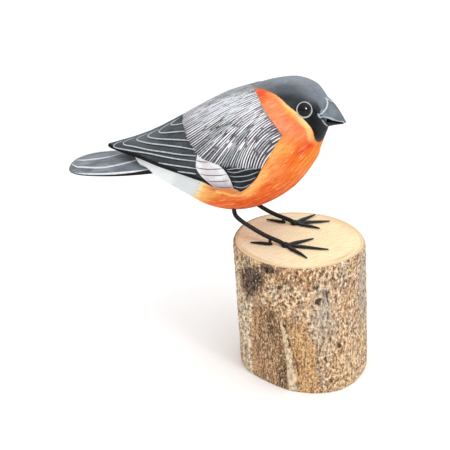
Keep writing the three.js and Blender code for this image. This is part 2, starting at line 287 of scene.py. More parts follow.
# The rings of the sawn ends lie closer together near the rim, where the bark's thickness shows
side_heights = np.linspace(SAWN_EDGE_HEIGHT, LOG_HEIGHT - SAWN_EDGE_HEIGHT, BARK_ROWS)
face_shares = np.concatenate([np.linspace(1, 0.76, 21), np.linspace(0.72, 0.02, 14)])
underside = [log_ring(0, SAWN_EDGE, share) for share in face_shares[::-1]]
round_side = [log_ring(height) for height in side_heights]
top_face = [log_ring(LOG_HEIGHT, SAWN_EDGE, share) for share in face_shares]
log_points, log_faces = closed_skin(underside + round_side + top_face)
log_guide = new_object("log_guide", log_points, log_faces)


def from_edge(places, outline):
    """How far each place is from an open line, in millimetres, below 0 on one side of it."""
    best = np.full(len(places), 1e9)
    side = np.ones(len(places))
    for a, b in zip(np.asarray(outline[:-1], float), np.asarray(outline[1:], float)):
        run = b - a
        share = np.clip((places - a) @ run / (run @ run), 0, 1)
        off = places - a - share[:, None] * run
        reach = np.hypot(*off.T)
        cross = run[0] * (places - a)[:, 1] - run[1] * (places - a)[:, 0]
        nearer = reach < best - 1e-9
        side = np.where(nearer, np.sign(cross), side)
        best = np.where(nearer, reach, best)
    return best * side


def inside(places, corners):
    """True for the places within a closed outline."""
    within = np.zeros(len(places), bool)
    x, y = places.T
    for (ax, ay), (bx, by) in zip(corners, np.roll(corners, -1, 0)):
        crosses = (ay > y) != (by > y)
        edge = ax + (y - ay) * (bx - ax) / (by - ay if by != ay else 1.0)
        within ^= crosses & (x < edge)
    return within


def depth_in(places, corners):
    """Millimetres inside a closed outline, or minus the millimetres outside it."""
    reach = np.abs(from_edge(places, [*corners, corners[0]]))
    return np.where(inside(places, np.asarray(corners, float)), reach, -reach)


# Where the bark differs: corners by the angle round the log in degrees and by height
MM_PER_DEGREE = LOG_RADIUS * math.pi / 180
RIM_DEPTH = 7
BARK_AREAS = {
    "charred": [
        (-142, 63), (-144, 55), (-143, 50.5), (-136, 46.5), (-129, 51), (-121, 57), (-118, 62.5),
        (-119, 66.5), (-112, 66.5), (-104, 69.5), (-111, 71), (-119, 70.5), (-128, 67), (-135, 66),
    ],
    "bare": [
        (-131, 47.5), (-120, 48.5), (-108, 46), (-100, 43), (-88, 43), (-77, 37), (-70, 22),
        (-66, 8), (-65, -2), (-140, -2), (-138, 21.5),
    ],
    "ochre": [
        (-95, 36), (-84, 42), (-77, 38), (-70, 22), (-66, 8), (-65, -2), (-86, -2), (-88, 12),
        (-91, 24),
    ],
    "pale_strip": [
        (-146, 63), (-153, 66), (-156, 40), (-156, 10), (-155, -2), (-140, -2), (-138, 21.5),
        (-132, 46), (-141, 49),
    ],
    "sliver": [
        (-102, 44), (-103, 40), (-100, 30), (-97, 18), (-95.5, 8), (-94.5, -2), (-85, -2),
        (-88, 10), (-91, 18), (-96, 30), (-100, 40),
    ],
}
KNOTS = [
    # angle, height, half width and half height in millimetres
    (-72, 60, 1.3, 1.9), (-72, 54, 1.6, 1.7), (-63, 20, 1.0, 1.4), (-104, 60, 0.7, 1.0),
    (-49, 27, 1.1, 1.3),
]
CRACKS = [
    [(-99.5, 39), (-96, 31), (-92, 24), (-87.5, 16), (-86, 10)],
    [(-66, 66), (-62, 52), (-61.5, 42), (-61, 34)],
]
bark_turn = np.degrees(np.arctan2(log_points[:, 1], log_points[:, 0]))
bark_places = np.stack([bark_turn * MM_PER_DEGREE, log_points[:, 2]], -1)
is_outside = np.hypot(log_points[:, 0], log_points[:, 1]) > LOG_RADIUS - RIM_DEPTH


def on_bark(corners):
    return np.array(corners, float) * (MM_PER_DEGREE, 1)


def bark_cloud(turn, height, across, up):
    """A soft cloud on the bark, 1 in its middle: its place, and its reach in degrees and millimetres."""
    return bell(*((bark_places - on_bark((turn, height))) / on_bark((across, up))).T)


crack_reach = [np.abs(from_edge(bark_places, on_bark(route))) for route in CRACKS]
knot_reach = [
    np.hypot(*((bark_places - on_bark((turn, height))) / (across, up)).T)
    for turn, height, across, up in KNOTS
]
edge_room = np.minimum(bark_places[:, 1] - 0.4, LOG_HEIGHT - 0.4 - bark_places[:, 1])
ring_inset = np.concatenate([1 - face_shares[::-1], np.zeros(BARK_ROWS), 1 - face_shares])
from_rim = np.append(np.repeat(ring_inset, BARK_COLUMNS), [1, 1]) * LOG_RADIUS
front_left = bell((bark_turn + 136) / 24, (from_rim - 2.6) / 0.8)
front_right = bell((bark_turn + 40) / 22, (from_rim - 3.6) / 0.9)
back = 0.6 * bell((bark_turn - 60) / 35, (from_rim - 3) / 2.5)
keep(
    log_guide,
    **{name: depth_in(bark_places, on_bark(corners)) for name, corners in BARK_AREAS.items()},
    crack=np.min(crack_reach, 0),
    knot=np.min(knot_reach, 0),
    creamy=bark_cloud(-30, 12, 22, 16),
    greyed=np.maximum(bark_cloud(-66, 45, 10, 18), bark_cloud(-14, 52, 12, 26)),
    stained=np.maximum(bark_cloud(-101, 6, 5, 22), bark_cloud(-112, 38, 9, 12)),
    rusty=np.maximum(bark_cloud(-90, 68, 16, 5), bark_cloud(-49, 27, 4, 3)),
    bark=np.clip(edge_room / 2, 0, 1) * is_outside,
    from_rim=from_rim,
    tanned=np.maximum(np.maximum(front_left, front_right), back),
    # How strong the dark ring at the top's rim is: strongest towards the back of the log.
    bark_shows=0.25 + 0.75 * bell(((bark_turn + 360) % 360 - 172) / 42),
)


def from_mesh(tree, name):
    return flow(tree, "GeometryNodeInputNamedAttribute", {"Name": name}, data_type="FLOAT")


# The bark's relief: long ridges, small grains, and low steps at the borders of its patches
relief, given = new_growth("bark_relief", Ridges="Float", Grains="Float")
spot = flow(relief, "GeometryNodeInputPosition") * (1 / MM, 1 / MM, 1 / MM)
ridges = (noise(spot * (1, 1, 0.25), 5, 3) - 0.5) * given["Ridges"]
roughened = fade(from_mesh(relief, "bare"), -1, 1, 1, 0.4)
grains = (noise(spot * (1, 1, 0.75), 1.6, 3, 0.6) - 0.5) * roughened * given["Grains"]
lift = ridges + grains
BARK_STEPS = [
    # What it borders, where the step starts and ends, and how far it goes up
    ("bare", -2.0, 2.0, -0.5), ("sliver", -0.5, 0.6, 1.0), ("crack", 0.7, 0.1, -0.6),
    ("pale_strip", -0.6, 0.6, 0.6), ("charred", -0.8, 0.8, -0.5), ("knot", 1.2, 0.4, -0.4),
]
for name, start, end, height in BARK_STEPS:
    lift = lift + fade(from_mesh(relief, name), start, end, 0, height * MM)
outward = {0: flow(relief, "GeometryNodeInputNormal"), "Scale": lift * from_mesh(relief, "bark")}
outward = flow(relief, "ShaderNodeVectorMath", outward, operation="SCALE")
raised = {"Geometry": given["Geometry"], "Offset": outward}
end_growth(given, flow(relief, "GeometryNodeSetPosition", raised))


def bark_recipe(tree):
    place = place_in_mm(tree)
    broad = noise(place * (1, 1, 0.35), 6, 2)
    patches = noise(place * (1, 1, 0.5), 2.6, 3, 0.6)
    grain = noise(place * (1.1, 1.1, 0.75), 1.5, 2, 0.7)
    flecks = noise(place * (1.2, 1.2, 0.8), 0.9, 1)
    furrows = noise(place * (1, 1, 0.12), 1.4, 2, 0.6)
    streaks = noise(place * (1, 1, 0.16), 2.2, 3, 0.65)
    grit = noise(place * (1, 1, 0.5), 0.8, 2, 0.7)
    ragged = (patches - 0.5) * 9.0 + (grain - 0.5) * 4.5
    fringe = ragged + (streaks - 0.5) * 12.0
    softer = 1.0 - kept(tree, "greyed") * 0.4

    def within(name, edge=ragged, soft=0.4):
        return fade(kept(tree, name) + edge, -soft, soft)

    worn = coats(
        mix(fade(streaks, 0.36, 0.64), "#8c6648", "#cfa175"),
        (kept(tree, "stained"), "#63482f"),
        (within("ochre", fringe, 1.2), mix(fade(streaks, 0.4, 0.62), "#b5844f", "#deb078")),
        (fade(grit, 0.52, 0.62, 0, 0.8), "#e6c79d"),
        (fade(grit, 0.47, 0.38, 0, 0.8), "#5a4130"),
        (fade(furrows, 0.42, 0.33, 0, 0.7), "#543c2b"),
    )
    pale = coats(
        mix(fade(streaks, 0.4, 0.62), "#bda284", "#ecd5b0"),
        (fade(grain, 0.53, 0.62), "#f7ead2"),
        (fade(grain, 0.46, 0.37), "#75604b"),
    )
    soot = mix(fade(streaks, 0.42, 0.62), "#2d231d", "#836a54")
    soot = mix(fade(grit, 0.55, 0.66, 0, 0.6), soot, "#b39a80")
    colour = coats(
        mix(fade(patches, 0.42, 0.58), "#a9825e", "#d8ae82"),
        (fade(broad, 0.5, 0.62, 0, 0.7), "#ad9a88"),
        (kept(tree, "greyed") * 0.8, "#aca297"),
        (kept(tree, "creamy") * 0.6, "#d5b080"),
        (kept(tree, "rusty") * 0.6, "#ac7445"),
        (fade(grain, 0.52, 0.62) * softer, "#f4dfbc"),
        (fade(grain, 0.46, 0.37) * softer, "#5f4838"),
        (fade(furrows, 0.38, 0.3, 0, 0.8), "#4d3929"),
        (within("bare", fringe, 1.2), worn),
        (within("pale_strip"), pale),
        (fade(kept(tree, "sliver") + ragged * 0.35, -0.2, 0.4), mix(0.5, pale, "#e8d3b0")),
        (within("charred", fringe), soot),
        (fade(1.0 - (kept(tree, "knot") + ragged * 0.5), -0.2, 0.2, 0, 0.9), "#3b2c25"),
        (fade(0.2 - (kept(tree, "crack") + ragged * 0.24), -0.15, 0.15, 0, 0.85), "#3f2e24"),
        (fade(flecks, 0.65, 0.7, 0, 0.9), "#2f2520"),
        (fade(flecks, 0.33, 0.28, 0, 0.9), "#f8ecd8"),
    )
    return {
        "Base Color": colour,
        "Roughness": fade(grain, 0.3, 0.7, 0.95, 0.75),
        "Height": grain * 0.9 - fade(flecks, 0.62, 0.7, 0, 0.15),
    }


PITH = (14.0, 9.0)
YEAR_RING = 1.9
SAW_TURN = math.radians(52)
WITH_SAW = (math.cos(SAW_TURN), math.sin(SAW_TURN), 0)
ACROSS_SAW = (-math.sin(SAW_TURN), math.cos(SAW_TURN), 0)


def sawn_recipe(tree):
    place = place_in_mm(tree)
    wander = noise(place, 12, 2) - 0.5
    pith = {0: place * (1, 1, 0), 1: (*PITH, 0)}
    middle = flow(tree, "ShaderNodeVectorMath", pith, "Value", operation="DISTANCE")
    rings = calc("SINE", (middle + wander * 10.0) * (2 * math.pi / YEAR_RING))
    u, v = [
        flow(tree, "ShaderNodeVectorMath", {0: place, 1: way}, "Value", operation="DOT_PRODUCT")
        for way in (WITH_SAW, ACROSS_SAW)
    ]
    saw_place = flow(tree, "ShaderNodeCombineXYZ", {"X": u * 0.1, "Y": v})
    saw_marks = noise(saw_place, 0.9, 3, 0.65)
    rim = kept(tree, "from_rim") + wander * 1.2
    colour = coats(
        mix(fade(along_axis(place, "X") + wander * 24.0, -24, 12), "#ebe0c1", "#f6eabf"),
        (fade(noise(saw_place * (5, 1, 1), 9, 3), 0.5, 0.65, 0, 0.5), "#f9e6c2"),
        (fade(rings, 0.0, 1.0, 0, 0.2), "#d9b47e"),
        (fade(saw_marks, 0.5, 0.64, 0, 0.42), "#d9bd92"),
        (fade(saw_marks, 0.46, 0.36, 0, 0.4), "#fbf1d6"),
        (kept(tree, "tanned") * 0.6, "#cb9a62"),
        (fade(rim, 1.1, 1.4) * fade(rim, 2.0, 1.6) * 0.45, "#b98450"),
        (fade(rim, 1.2, 0.9), "#efd6aa"),
        # A dark ring at the very rim, strongest towards the back of the log.
        (fade(rim, 0.95, 0.45) * kept(tree, "bark_shows"), "#6a503b"),
    )
    roughness = fade(saw_marks, 0.3, 0.7, 0.7, 0.85)
    return {"Base Color": colour, "Roughness": roughness, "Height": saw_marks * 0.15}


bark = new_material("weathered_bark", bark_recipe, Specular_IOR_Level=0.25)
log = grow("log_with_bark", log_guide, relief, Ridges=0.9 * MM, Grains=1.6 * MM, Finish=bark)
log.data.materials.append(new_material("sawn_wood", sawn_recipe, Specular_IOR_Level=0.3))
middles = np.zeros(len(log.data.polygons) * 3, np.float32)
log.data.polygons.foreach_get("center", middles)
heights = middles[2::3] / MM
is_sawn = (heights < 0.05) | (heights > LOG_HEIGHT - 0.05)
log.data.polygons.foreach_set("material_index", is_sawn.astype(np.int32))
settle(log, "bark_and_cut_wood", "log")

# The legs
# Each leg is one length of stiff black wire. Its upper end is glued in a hole in the belly, and it
# sweeps forward and down to the foot, where its end is soldered to the toes.
WIRE_RADIUS = 1.15
RIGHT_LEG = [
    (-37.3, -5.4, 96.5), (-36.9, -7, 88.6), (-35.6, -8.7, 85.9), (-33.2, -9.5, 84.1),
    (-29.9, -9.7, 82.0), (-21, -9.7, 77.1), (-12.8, -10.2, 74.2), (-10.7, -10.7, 73.5), (-9.2, -10.9, 72.9),
]
LEFT_LEG = [
    (-37.3, 13.8, 96.5), (-36.9, 15.4, 88.6), (-35.8, 17, 85.9), (-33.4, 17.8, 83.9),
    (-30.2, 18, 81.7), (-21.3, 18, 77), (-12.4, 17.5, 74.2), (-10.3, 17.1, 73.5), (-8.9, 16.9, 72.9),
]


def black_metal_recipe(tree):
    place = place_in_mm(tree)
    smears = noise(place, 1.6, 3, 0.6)
    return {
        "Base Color": mix(fade(smears, 0.45, 0.75), "#070708", "#151618"),
        "Roughness": fade(smears, 0.35, 0.7, 0.2, 0.4),
        "Height": noise(place, 0.5, 2) * 0.05,
    }


# Wire: a circle swept along a smooth line through the bends, and closed at both ends
drawing, given = new_growth("drawn_wire", Radius="Float", Step="Float")
path = flow(drawing, "GeometryNodeMeshToCurve", {0: given["Geometry"]})
path = flow(drawing, "GeometryNodeCurveSplineType", {0: path}, spline_type="CATMULL_ROM")
path = flow(drawing, "GeometryNodeResampleCurve", {"Curve": path, "Length": given["Step"]}, mode="LENGTH")
section = flow(drawing, "GeometryNodeCurvePrimitiveCircle", {"Resolution": 20, "Radius": given["Radius"]})
rod = {"Curve": path, "Profile Curve": section, "Fill Caps": True}
end_growth(given, flow(drawing, "GeometryNodeCurveToMesh", rod))

black_metal = new_material("black_wire_lacquer", black_metal_recipe, Specular_IOR_Level=0.3)
wire = {"Radius": WIRE_RADIUS * MM, "Step": 0.5 * MM, "Finish": black_metal}
for name, bends in {"right": RIGHT_LEG, "left": LEFT_LEG}.items():
    guide = new_object("leg_guide", bends, [], [(i, i + 1) for i in range(len(bends) - 1)])
    settle(grow("wire_leg_" + name, guide, drawing, **wire), "black_wire", "leg_" + name)

# The feet
# The front toes are strips of wire hammered flat, soldered in a fan under the end of the leg. A
# shorter hind toe is held to the leg by a stub of wire. They are glued to the top of the log.
GLUE_GAP = 0.3
FOOT_FLOOR = LOG_HEIGHT + GLUE_GAP
SOLDER_RISE = 0.8
TOE_HALF_WIDTH = 1.5
TOE_THICKNESS = 1.1
TOE_SIDES = 14
TOE_RINGS = 30
HUB_RADIUS = 2.1
FEET = {
    "right": {
        "hub": (-9.4, -10.9), "toes": [(3.6, 0), (12.8, -11), (3.6, -22.8)],
        "hind": ((-16, -10.9), (-27.4, -11)), "post": -17.3,
    },
    "left": {
        "hub": (-9, 16.9), "toes": [(0.2, 30.2), (9, 23.6), (5, 13.3)],
        "hind": ((-13.8, 16.8), (-24.4, 18.8)), "post": -15,
    },
}


def hammered_toe(root, tip, widest, blows):
    """A strip of wire beaten flat, widest near its root, with an uneven edge and a dull point."""
    root, run = np.array(root, float), np.subtract(tip, root)
    across = np.array([-run[1], run[0]]) / np.hypot(*run)
    angle = np.linspace(0, 2 * math.pi, TOE_SIDES, endpoint=False)
    rise = np.sign(np.sin(angle)) * np.abs(np.sin(angle)) ** 0.7
    rings = []
    for t in np.linspace(0, 1, TOE_RINGS):
        fullness = 0.7 + 0.3 * t / widest if t < widest else 1 - 0.8 * ((t - widest) / (1 - widest)) ** 1.6
        dent = 1 + 0.07 * math.sin(17 * t + blows) + 0.05 * math.sin(41 * t + 2 * blows)
        drift = 0.12 * math.sin(9 * t + 3 * blows) * t
        sideways = np.cos(angle) * TOE_HALF_WIDTH * fullness * dent * 0.92 + drift
        height = TOE_THICKNESS * (0.55 + 0.45 * fullness) * (1 + rise) / 2
        rings.append(np.column_stack([root + run * t + sideways[:, None] * across, FOOT_FLOOR + height]))
    return closed_skin(rings)


def turned(middle, profile, sides=28):
    """A round form turned about an upright line: profile holds radius and height pairs."""
    angle = np.linspace(0, 2 * math.pi, sides, endpoint=False)
    rings = [
        np.stack([middle[0] + r * np.cos(angle), middle[1] + r * np.sin(angle), np.full(sides, z)], -1)
        for r, z in profile
    ]
    return closed_skin(rings)


def joined(*forms):
    """Several closed forms as one list of points and faces."""
    points, faces = [], []
    for form_points, form_faces in forms:
        start = sum(len(p) for p in points)
        faces += [[corner + start for corner in face] for face in form_faces]
        points.append(form_points)
    return np.vstack(points), faces


for name, foot in FEET.items():
    top = FOOT_FLOOR + TOE_THICKNESS + SOLDER_RISE
    solder = turned(foot["hub"], [
        (HUB_RADIUS, FOOT_FLOOR), (HUB_RADIUS, FOOT_FLOOR + 0.6), (1.9, top - 0.5), (1.4, top - 0.15),
        (0.7, top),
    ])
    toes = [hammered_toe(foot["hub"], tip, 0.35, 1.3 * i) for i, tip in enumerate(foot["toes"])]
    front = new_object("hammered_foot_" + name, *joined(solder, *toes))
    settle(front, "black_wire", "foot_" + name, finish=black_metal)
    spur = hammered_toe(*foot["hind"], 0.3, 4.1)
    stub = turned(
        (foot["post"], foot["hind"][0][1]),
        [(0.9, FOOT_FLOOR + 0.3), (0.75, FOOT_FLOOR + 1.2), (0.8, FOOT_FLOOR + 3)],
    )
    hind = new_object("hammered_hind_toe_" + name, *joined(spur, stub))
    settle(hind, "black_wire", "hind_toe_" + name, finish=black_metal)

# The body and head
# One block of light wood, carved and sanded smooth, then painted by hand with a fine brush: a black
# cap and bib, an orange breast in many small strokes, and white under the tail. The paint is matt.
BIRD_MIDDLE_Y = 4.2
BODY_SECTIONS = [
    # top x, top z, bottom x, bottom z, half width, height of the widest place as a share
    (-92, 113.8, -80.5, 101.4, 9, 0.5),
    (-77, 120.5, -74.5, 97.5, 13.2, 0.5),
    (-68.5, 131, -63, 92, 18, 0.5),
    (-56.5, 138.5, -50, 86.5, 22.5, 0.5),
    (-44.5, 146, -36, 85.5, 25, 0.5),
    (-31, 151.3, -21.5, 90, 24.5, 0.5),
    (-19, 155.5, -7, 100.5, 21, 0.5),
    (-8, 157.3, 3, 115, 16.5, 0.5),
    (0.8, 154.9, 5.2, 122, 13.4, 0.5),
    (4.9, 151.1, 6.9, 127.4, 9.8, 0.5),
    (7.4, 147.8, 8.4, 132, 6.5, 0.45),
]
EYE_CENTRE = np.array([-2.6, -11.1, 144.3])


def along(rows, at):
    """A smooth curve through rows of numbers, at places counted in rows."""
    rows = np.asarray(rows, float)
    padded = np.vstack([2 * rows[0] - rows[1], rows, 2 * rows[-1] - rows[-2]])
    start = np.clip(np.floor(at).astype(int), 0, len(rows) - 2)
    t = (at - start)[..., None]
    a, b, c, d = (padded[start + k] for k in range(4))
    bend = (2 * a - 5 * b + 4 * c - d) * t**2 + (3 * b - a - 3 * c + d) * t**3
    return 0.5 * (2 * b + (c - a) * t + bend)


def unit(vectors):
    return vectors / (np.linalg.norm(vectors, axis=-1, keepdims=True) + 1e-9)


def carved(sections, rows, turn, proud=0.0, keel=1.0):
    """Rings of a carved form, so many from its first section to its last.

    turn goes from the top down the form's right side.
    """
    at, turn = np.meshgrid(np.linspace(0, len(sections) - 1, rows), turn, indexing="ij")
    row = along(sections, at)
    top, bottom = row[..., 0:2], row[..., 2:4]
    outward = (top - bottom) / np.linalg.norm(top - bottom, axis=-1, keepdims=True)
    top, bottom = top + proud * outward, bottom - proud * outward
    waist = bottom + row[..., 5:6] * (top - bottom)
    rise = np.cos(turn)[..., None]
    flat = waist + np.abs(rise) * (np.where(rise > 0, top, bottom) - waist)
    side = np.sign(np.sin(turn)) * np.abs(np.sin(turn)) ** keel * (row[..., 4] + proud)
    return np.stack([flat[..., 0], -side, flat[..., 1]], -1)


class Tape:
    """Measures a carved form's right side as with a tape: x along the bird, and down from its top line."""

    ROWS = 300
    COLUMNS = 160
    FINE_STEPS = 401
    HALVINGS = 26

    def __init__(self, sections, proud):
        fine = carved(sections, self.ROWS + 1, np.linspace(0, math.pi, self.FINE_STEPS), proud)
        steps = np.linalg.norm(np.diff(fine, axis=1), axis=-1)
        down = np.hstack([np.zeros((len(fine), 1)), np.cumsum(steps, 1)])
        self.girth = down[:, -1]
        even = np.linspace(0, 1, self.COLUMNS + 1)
        self.points = np.stack([
            np.stack([np.interp(even * self.girth[i], down[i], fine[i, :, k]) for k in range(3)], -1)
            for i in range(len(fine))
        ])

    def read(self, row, down):
        row = np.clip(row, 0, self.ROWS)
        girth = np.interp(row, np.arange(self.ROWS + 1), self.girth)
        column = np.clip(down / girth, 0, 1) * self.COLUMNS
        i = np.minimum(row.astype(int), self.ROWS - 1)
        j = np.minimum(column.astype(int), self.COLUMNS - 1)
        a, b = (row - i)[..., None], (column - j)[..., None]
        near = self.points[i, j] * (1 - a) + self.points[i + 1, j] * a
        far = self.points[i, j + 1] * (1 - a) + self.points[i + 1, j + 1] * a
        return near * (1 - b) + far * b

    def lay(self, places):
        """The points at places given as x and down."""
        x, down = np.asarray(places, float).T
        low, high = np.zeros(len(x)), np.full(len(x), float(self.ROWS))
        for _ in range(self.HALVINGS):
            middle = (low + high) / 2
            behind = self.read(middle, down)[:, 0] < x
            low, high = np.where(behind, middle, low), np.where(behind, high, middle)
        return self.read((low + high) / 2, down)


def rounded(corners, steps=6):
    """A line drawn smoothly through its corners."""
    corners = np.asarray(corners, float)
    return along(corners, np.linspace(0, len(corners) - 1, steps * (len(corners) - 1) + 1))


def laid_over(ground, colour, share):
    return ground + share[:, None] * (np.array(tint(colour)[:3]) - ground)


def daubed(ground, daubs, places):
    """Colours laid in soft patches over a ground. A daub is its colour, x, down and its reach in each."""
    colours = np.tile(np.array(tint(ground)[:3]), (len(places), 1))
    for colour, x, down, reach_x, reach_down in daubs:
        colours = laid_over(colours, colour, bell(*((places - (x, down)) / (reach_x, reach_down)).T))
    return colours


# The painted cap and bib, by x and by how far down from the top line it reaches
CAP_EDGE = rounded([
    (-30.6, 0), (-27.7, 4.9), (-21.5, 9.2), (-15.6, 13.4), (-9.8, 18.7), (-5.3, 21.9), (-0.8, 25.3),
    (2.2, 27.8), (3.1, 31.1), (3.7, 33.6), (5.1, 34.6), (6.6, 33.4), (9, 32),
])
CAP_OUTLINE = [*CAP_EDGE, (20, 30), (20, -20), (-30.6, -20)]
BREAST_DAUBS = [
    # The deep red daub at x -34 and 92 down is partly the belly's own red and partly painted shade on its
    # underside.
    ("#f47a3c", -20, 68, 22, 14), ("#ee5d24", -28, 76, 18, 9), ("#dc471b", -34, 92, 40, 16),
    ("#f69c76", -17, 20, 9, 7), ("#f69670", -8, 30, 8, 5), ("#f58d5b", 0, 35.5, 6, 3.5),
    ("#f2633e", -24.5, 10.5, 4.5, 4), ("#f8a585", -14, 28, 4, 4),
    ("#f0702c", -4, 46, 6, 4), ("#f68d33", 0, 53, 7, 9), ("#f79a2f", 4.5, 44, 3, 9),
    ("#fbc06c", -12, 40, 3.6, 4.5), ("#fbbd72", -15.5, 45.5, 3, 5), ("#f8b062", -8.5, 41, 3.5, 2.5),
    ("#f8a962", -18.5, 51, 3, 4), ("#f69557", -13, 52, 5, 5), ("#ec4a26", 1, 39, 2.6, 2.8),
    ("#ec5526", -2.5, 42.5, 2.8, 2.4), ("#fabb70", -45.5, 56, 5, 2.2),
    ("#fbc682", -50.5, 54, 3.5, 3),
]
# The grey of the crown and forehead is partly slate paint and partly a painted sheen, paler where the top
# of the head faces the light. Darker daubs take the cap to black lower down, and the near-black daub at the
# front of the throat is painted shade.
CAP_DAUBS = [
    ("#888e96", -10, 0, 12, 6), ("#5d6369", -14, 9, 12, 3), ("#303235", -14, 15, 16, 4.5),
    ("#202224", -3, 20, 10, 6), ("#0a0a0a", 4, 28, 13, 12), ("#121212", 4, 16, 3.4, 3.6),
    ("#151616", 2, 22, 6, 5), ("#6f7173", -23, 5, 4, 2.5), ("#727981", 2, 7, 4, 4),
    ("#08090a", 8.5, 22, 3, 9), ("#2a2d30", 4.5, 13, 2, 1.6),
]
BODY_RINGS = 230
BODY_COLUMNS = 220
BODY_GIRTH_RADIUS = 24
BREAST_DEPTH = (0.89, 0.79, 0.66)
FLANK_LIP = rounded([
    (-43.7, 54.3), (-39.7, 57.1), (-36.8, 59.6), (-34.1, 61.3), (-31.6, 62), (-29.2, 61.1),
    (-25.6, 58.2), (-20.8, 52.2),
])
VENT_EDGE = rounded([(-47, 38), (-51, 45.5), (-59, 56), (-66, 70), (-69, 90)])


def tape_places(rings):
    """Each point of a row of rings as x and how far down it lies from the top line over the surface."""
    steps = np.linalg.norm(rings - np.roll(rings, 1, axis=1), axis=-1)
    middle = rings.shape[1] // 2
    down = np.zeros(rings.shape[:2])
    down[:, middle + 1 :] = np.cumsum(steps[:, middle + 1 :], 1)
    down[:, :middle] = np.cumsum(steps[:, middle:0:-1], 1)[:, ::-1]
    return np.stack([rings[..., 0], down], -1).reshape(-1, 2)


def outward_of(rings):
    """The outward direction at each point of a row of closed rings."""
    across = np.roll(rings, -1, axis=1) - np.roll(rings, 1, axis=1)
    normal = unit(np.cross(np.gradient(rings, axis=0), across))
    away = rings - rings.mean(1, keepdims=True)
    return normal * np.sign((normal * away).sum(-1, keepdims=True))


# Small forms that the knife left: a hollow round the eye, the lore, and a lip of flank over the wing
body_turn = np.linspace(-math.pi, math.pi, BODY_COLUMNS, endpoint=False)
body_rings = carved(BODY_SECTIONS, BODY_RINGS, body_turn)
body_places = tape_places(body_rings)
to_eye = np.min([
    np.linalg.norm(body_rings.reshape(-1, 3) * (1, mirror, 1) - EYE_CENTRE, axis=1) for mirror in (1, -1)
], 0)
hollow = -0.35 * bell((to_eye - 4.6) / 1.6)
lore = -0.5 * bell(*((body_places - (3.0, 14.5)) / (2.0, 2.6)).T)
lip = 0.6 * bell(from_edge(body_places, FLANK_LIP) / 1.2) * np.clip((body_places[:, 0] + 50) / 6, 0, 1)
lip *= np.clip((-23 - body_places[:, 0]) / 8, 0, 1)
carving = (hollow + lore + lip).reshape(BODY_RINGS, BODY_COLUMNS, 1)
body_rings = body_rings + carving * outward_of(body_rings)
body = new_object("carved_body_and_head", *closed_skin(body_rings + (0, BIRD_MIDDLE_Y, 0)))

end_places = [body_places[:BODY_COLUMNS].mean(0), body_places[-BODY_COLUMNS:].mean(0)]
body_places = np.vstack([body_places, end_places])
ring_length = np.linalg.norm(np.diff(body_rings[:, BODY_COLUMNS * 3 // 4], axis=0), axis=-1)
brush_along = np.repeat(np.append(0, np.cumsum(ring_length)), BODY_COLUMNS)
brush_across = np.tile(np.abs(body_turn) * BODY_GIRTH_RADIUS, BODY_RINGS)
brush = np.stack([brush_along, brush_across, body_rings[..., 1].ravel() * 0.3], -1)


def soft_step(value, start, end):
    """Goes smoothly from 0 to 1 as value goes from start to end."""
    t = np.clip((value - start) / (end - start), 0, 1)
    return t * t * (3 - 2 * t)


def stretch_of(value, start, full, fading, end):
    """Rises smoothly from 0 to 1 between start and full, and falls again between fading and end."""
    return soft_step(value, start, full) * soft_step(value, end, fading)


# A yellow glow along the cap, then the orange fades through yellow to the white under the tail
x, down = body_places.T
cap = depth_in(body_places, CAP_OUTLINE)
to_vent = from_edge(body_places, VENT_EDGE)
from_lip = from_edge(body_places, FLANK_LIP)
by_lip = stretch_of(x, -50, -44, -30, -25)
breast = daubed("#f57c34", BREAST_DAUBS, body_places) * BREAST_DEPTH
for colour, share in [
    ("#f9ad58", 0.9 * soft_step(-cap, 4.2, 1.8) * stretch_of(x, -17, -8, -1, 4)),
    ("#fbd08c", 0.75 * soft_step(-cap, 2.0, 0.8) * stretch_of(x, -23, -8, 0, 4)),
    ("#fcd596", 0.8 * soft_step(-cap, 4.2, 1.6) * stretch_of(x, -7, -2, 0, 3)),
    ("#f8b45c", 0.85 * soft_step(to_vent, -11, -3.5)),
    ("#f8e3a6", soft_step(to_vent, -6, 0.5)),
    ("#eef2f3", soft_step(to_vent, -0.5, 4)),
    # The white under the tail turns grey low down: painted shade on the underside.
    ("#d6dcde", 0.8 * soft_step(down + 0.7 * (x + 70), 32, 42) * (to_vent > 0)),
    # Along the flank's lip over the wing, the dark crease above it is painted shade and the pale yellow
    # line on its ridge is a painted highlight.
    ("#cf8a5a", 0.75 * by_lip * soft_step(-from_lip, 0.4, 1.2)),
    ("#fbcc70", 0.8 * by_lip * soft_step(np.abs(from_lip), 1.0, 0.2)),
    ("#fabc6c", 0.8 * soft_step(np.abs(from_lip), 6, 1) * stretch_of(x, -34, -27, -19, -14)),
]:
    breast = laid_over(breast, colour, share)
keep(
    body,
    brush=np.vstack([brush, brush[[0, -1]]]),
    cap=cap,
    breast_colour=breast,
    stroked=(1 + 0.9 * soft_step(down, 36, 46)) * (1 - 0.9 * soft_step(to_vent, 0, 4)),
    cap_colour=daubed("#7f858d", CAP_DAUBS, body_places),
)

# Brushwork: light and dark streaks along the way of the brush, and paler pools of paint
brushwork, given = new_tree(
    "brushwork", "ShaderNodeTree",
    {"Colour": "Color", "Light": "Color", "Dark": "Color", "Brush": "Vector", "Strength": "Float"},
    {"Colour": "Color", "Height": "Float"},
)
wide = noise(given["Brush"] * (0.16, 1, 1), 1.5, 2, 0.6)
fine = noise(given["Brush"] * (0.2, 1, 1), 0.7, 2, 0.6)
pools = noise(given["Brush"] * (0.5, 1, 1), 5, 2)
in_strokes = coats(
    given["Colour"],
    (fade(wide, 0.5, 0.68) * given["Strength"], given["Light"]),
    (fade(fine, 0.5, 0.34) * given["Strength"], given["Dark"]),
    (fade(pools, 0.55, 0.75, 0, 0.6) * given["Strength"], given["Light"]),
)
add(brushwork, "NodeGroupOutput", {"Colour": in_strokes, "Height": (wide + fine) * 0.09})


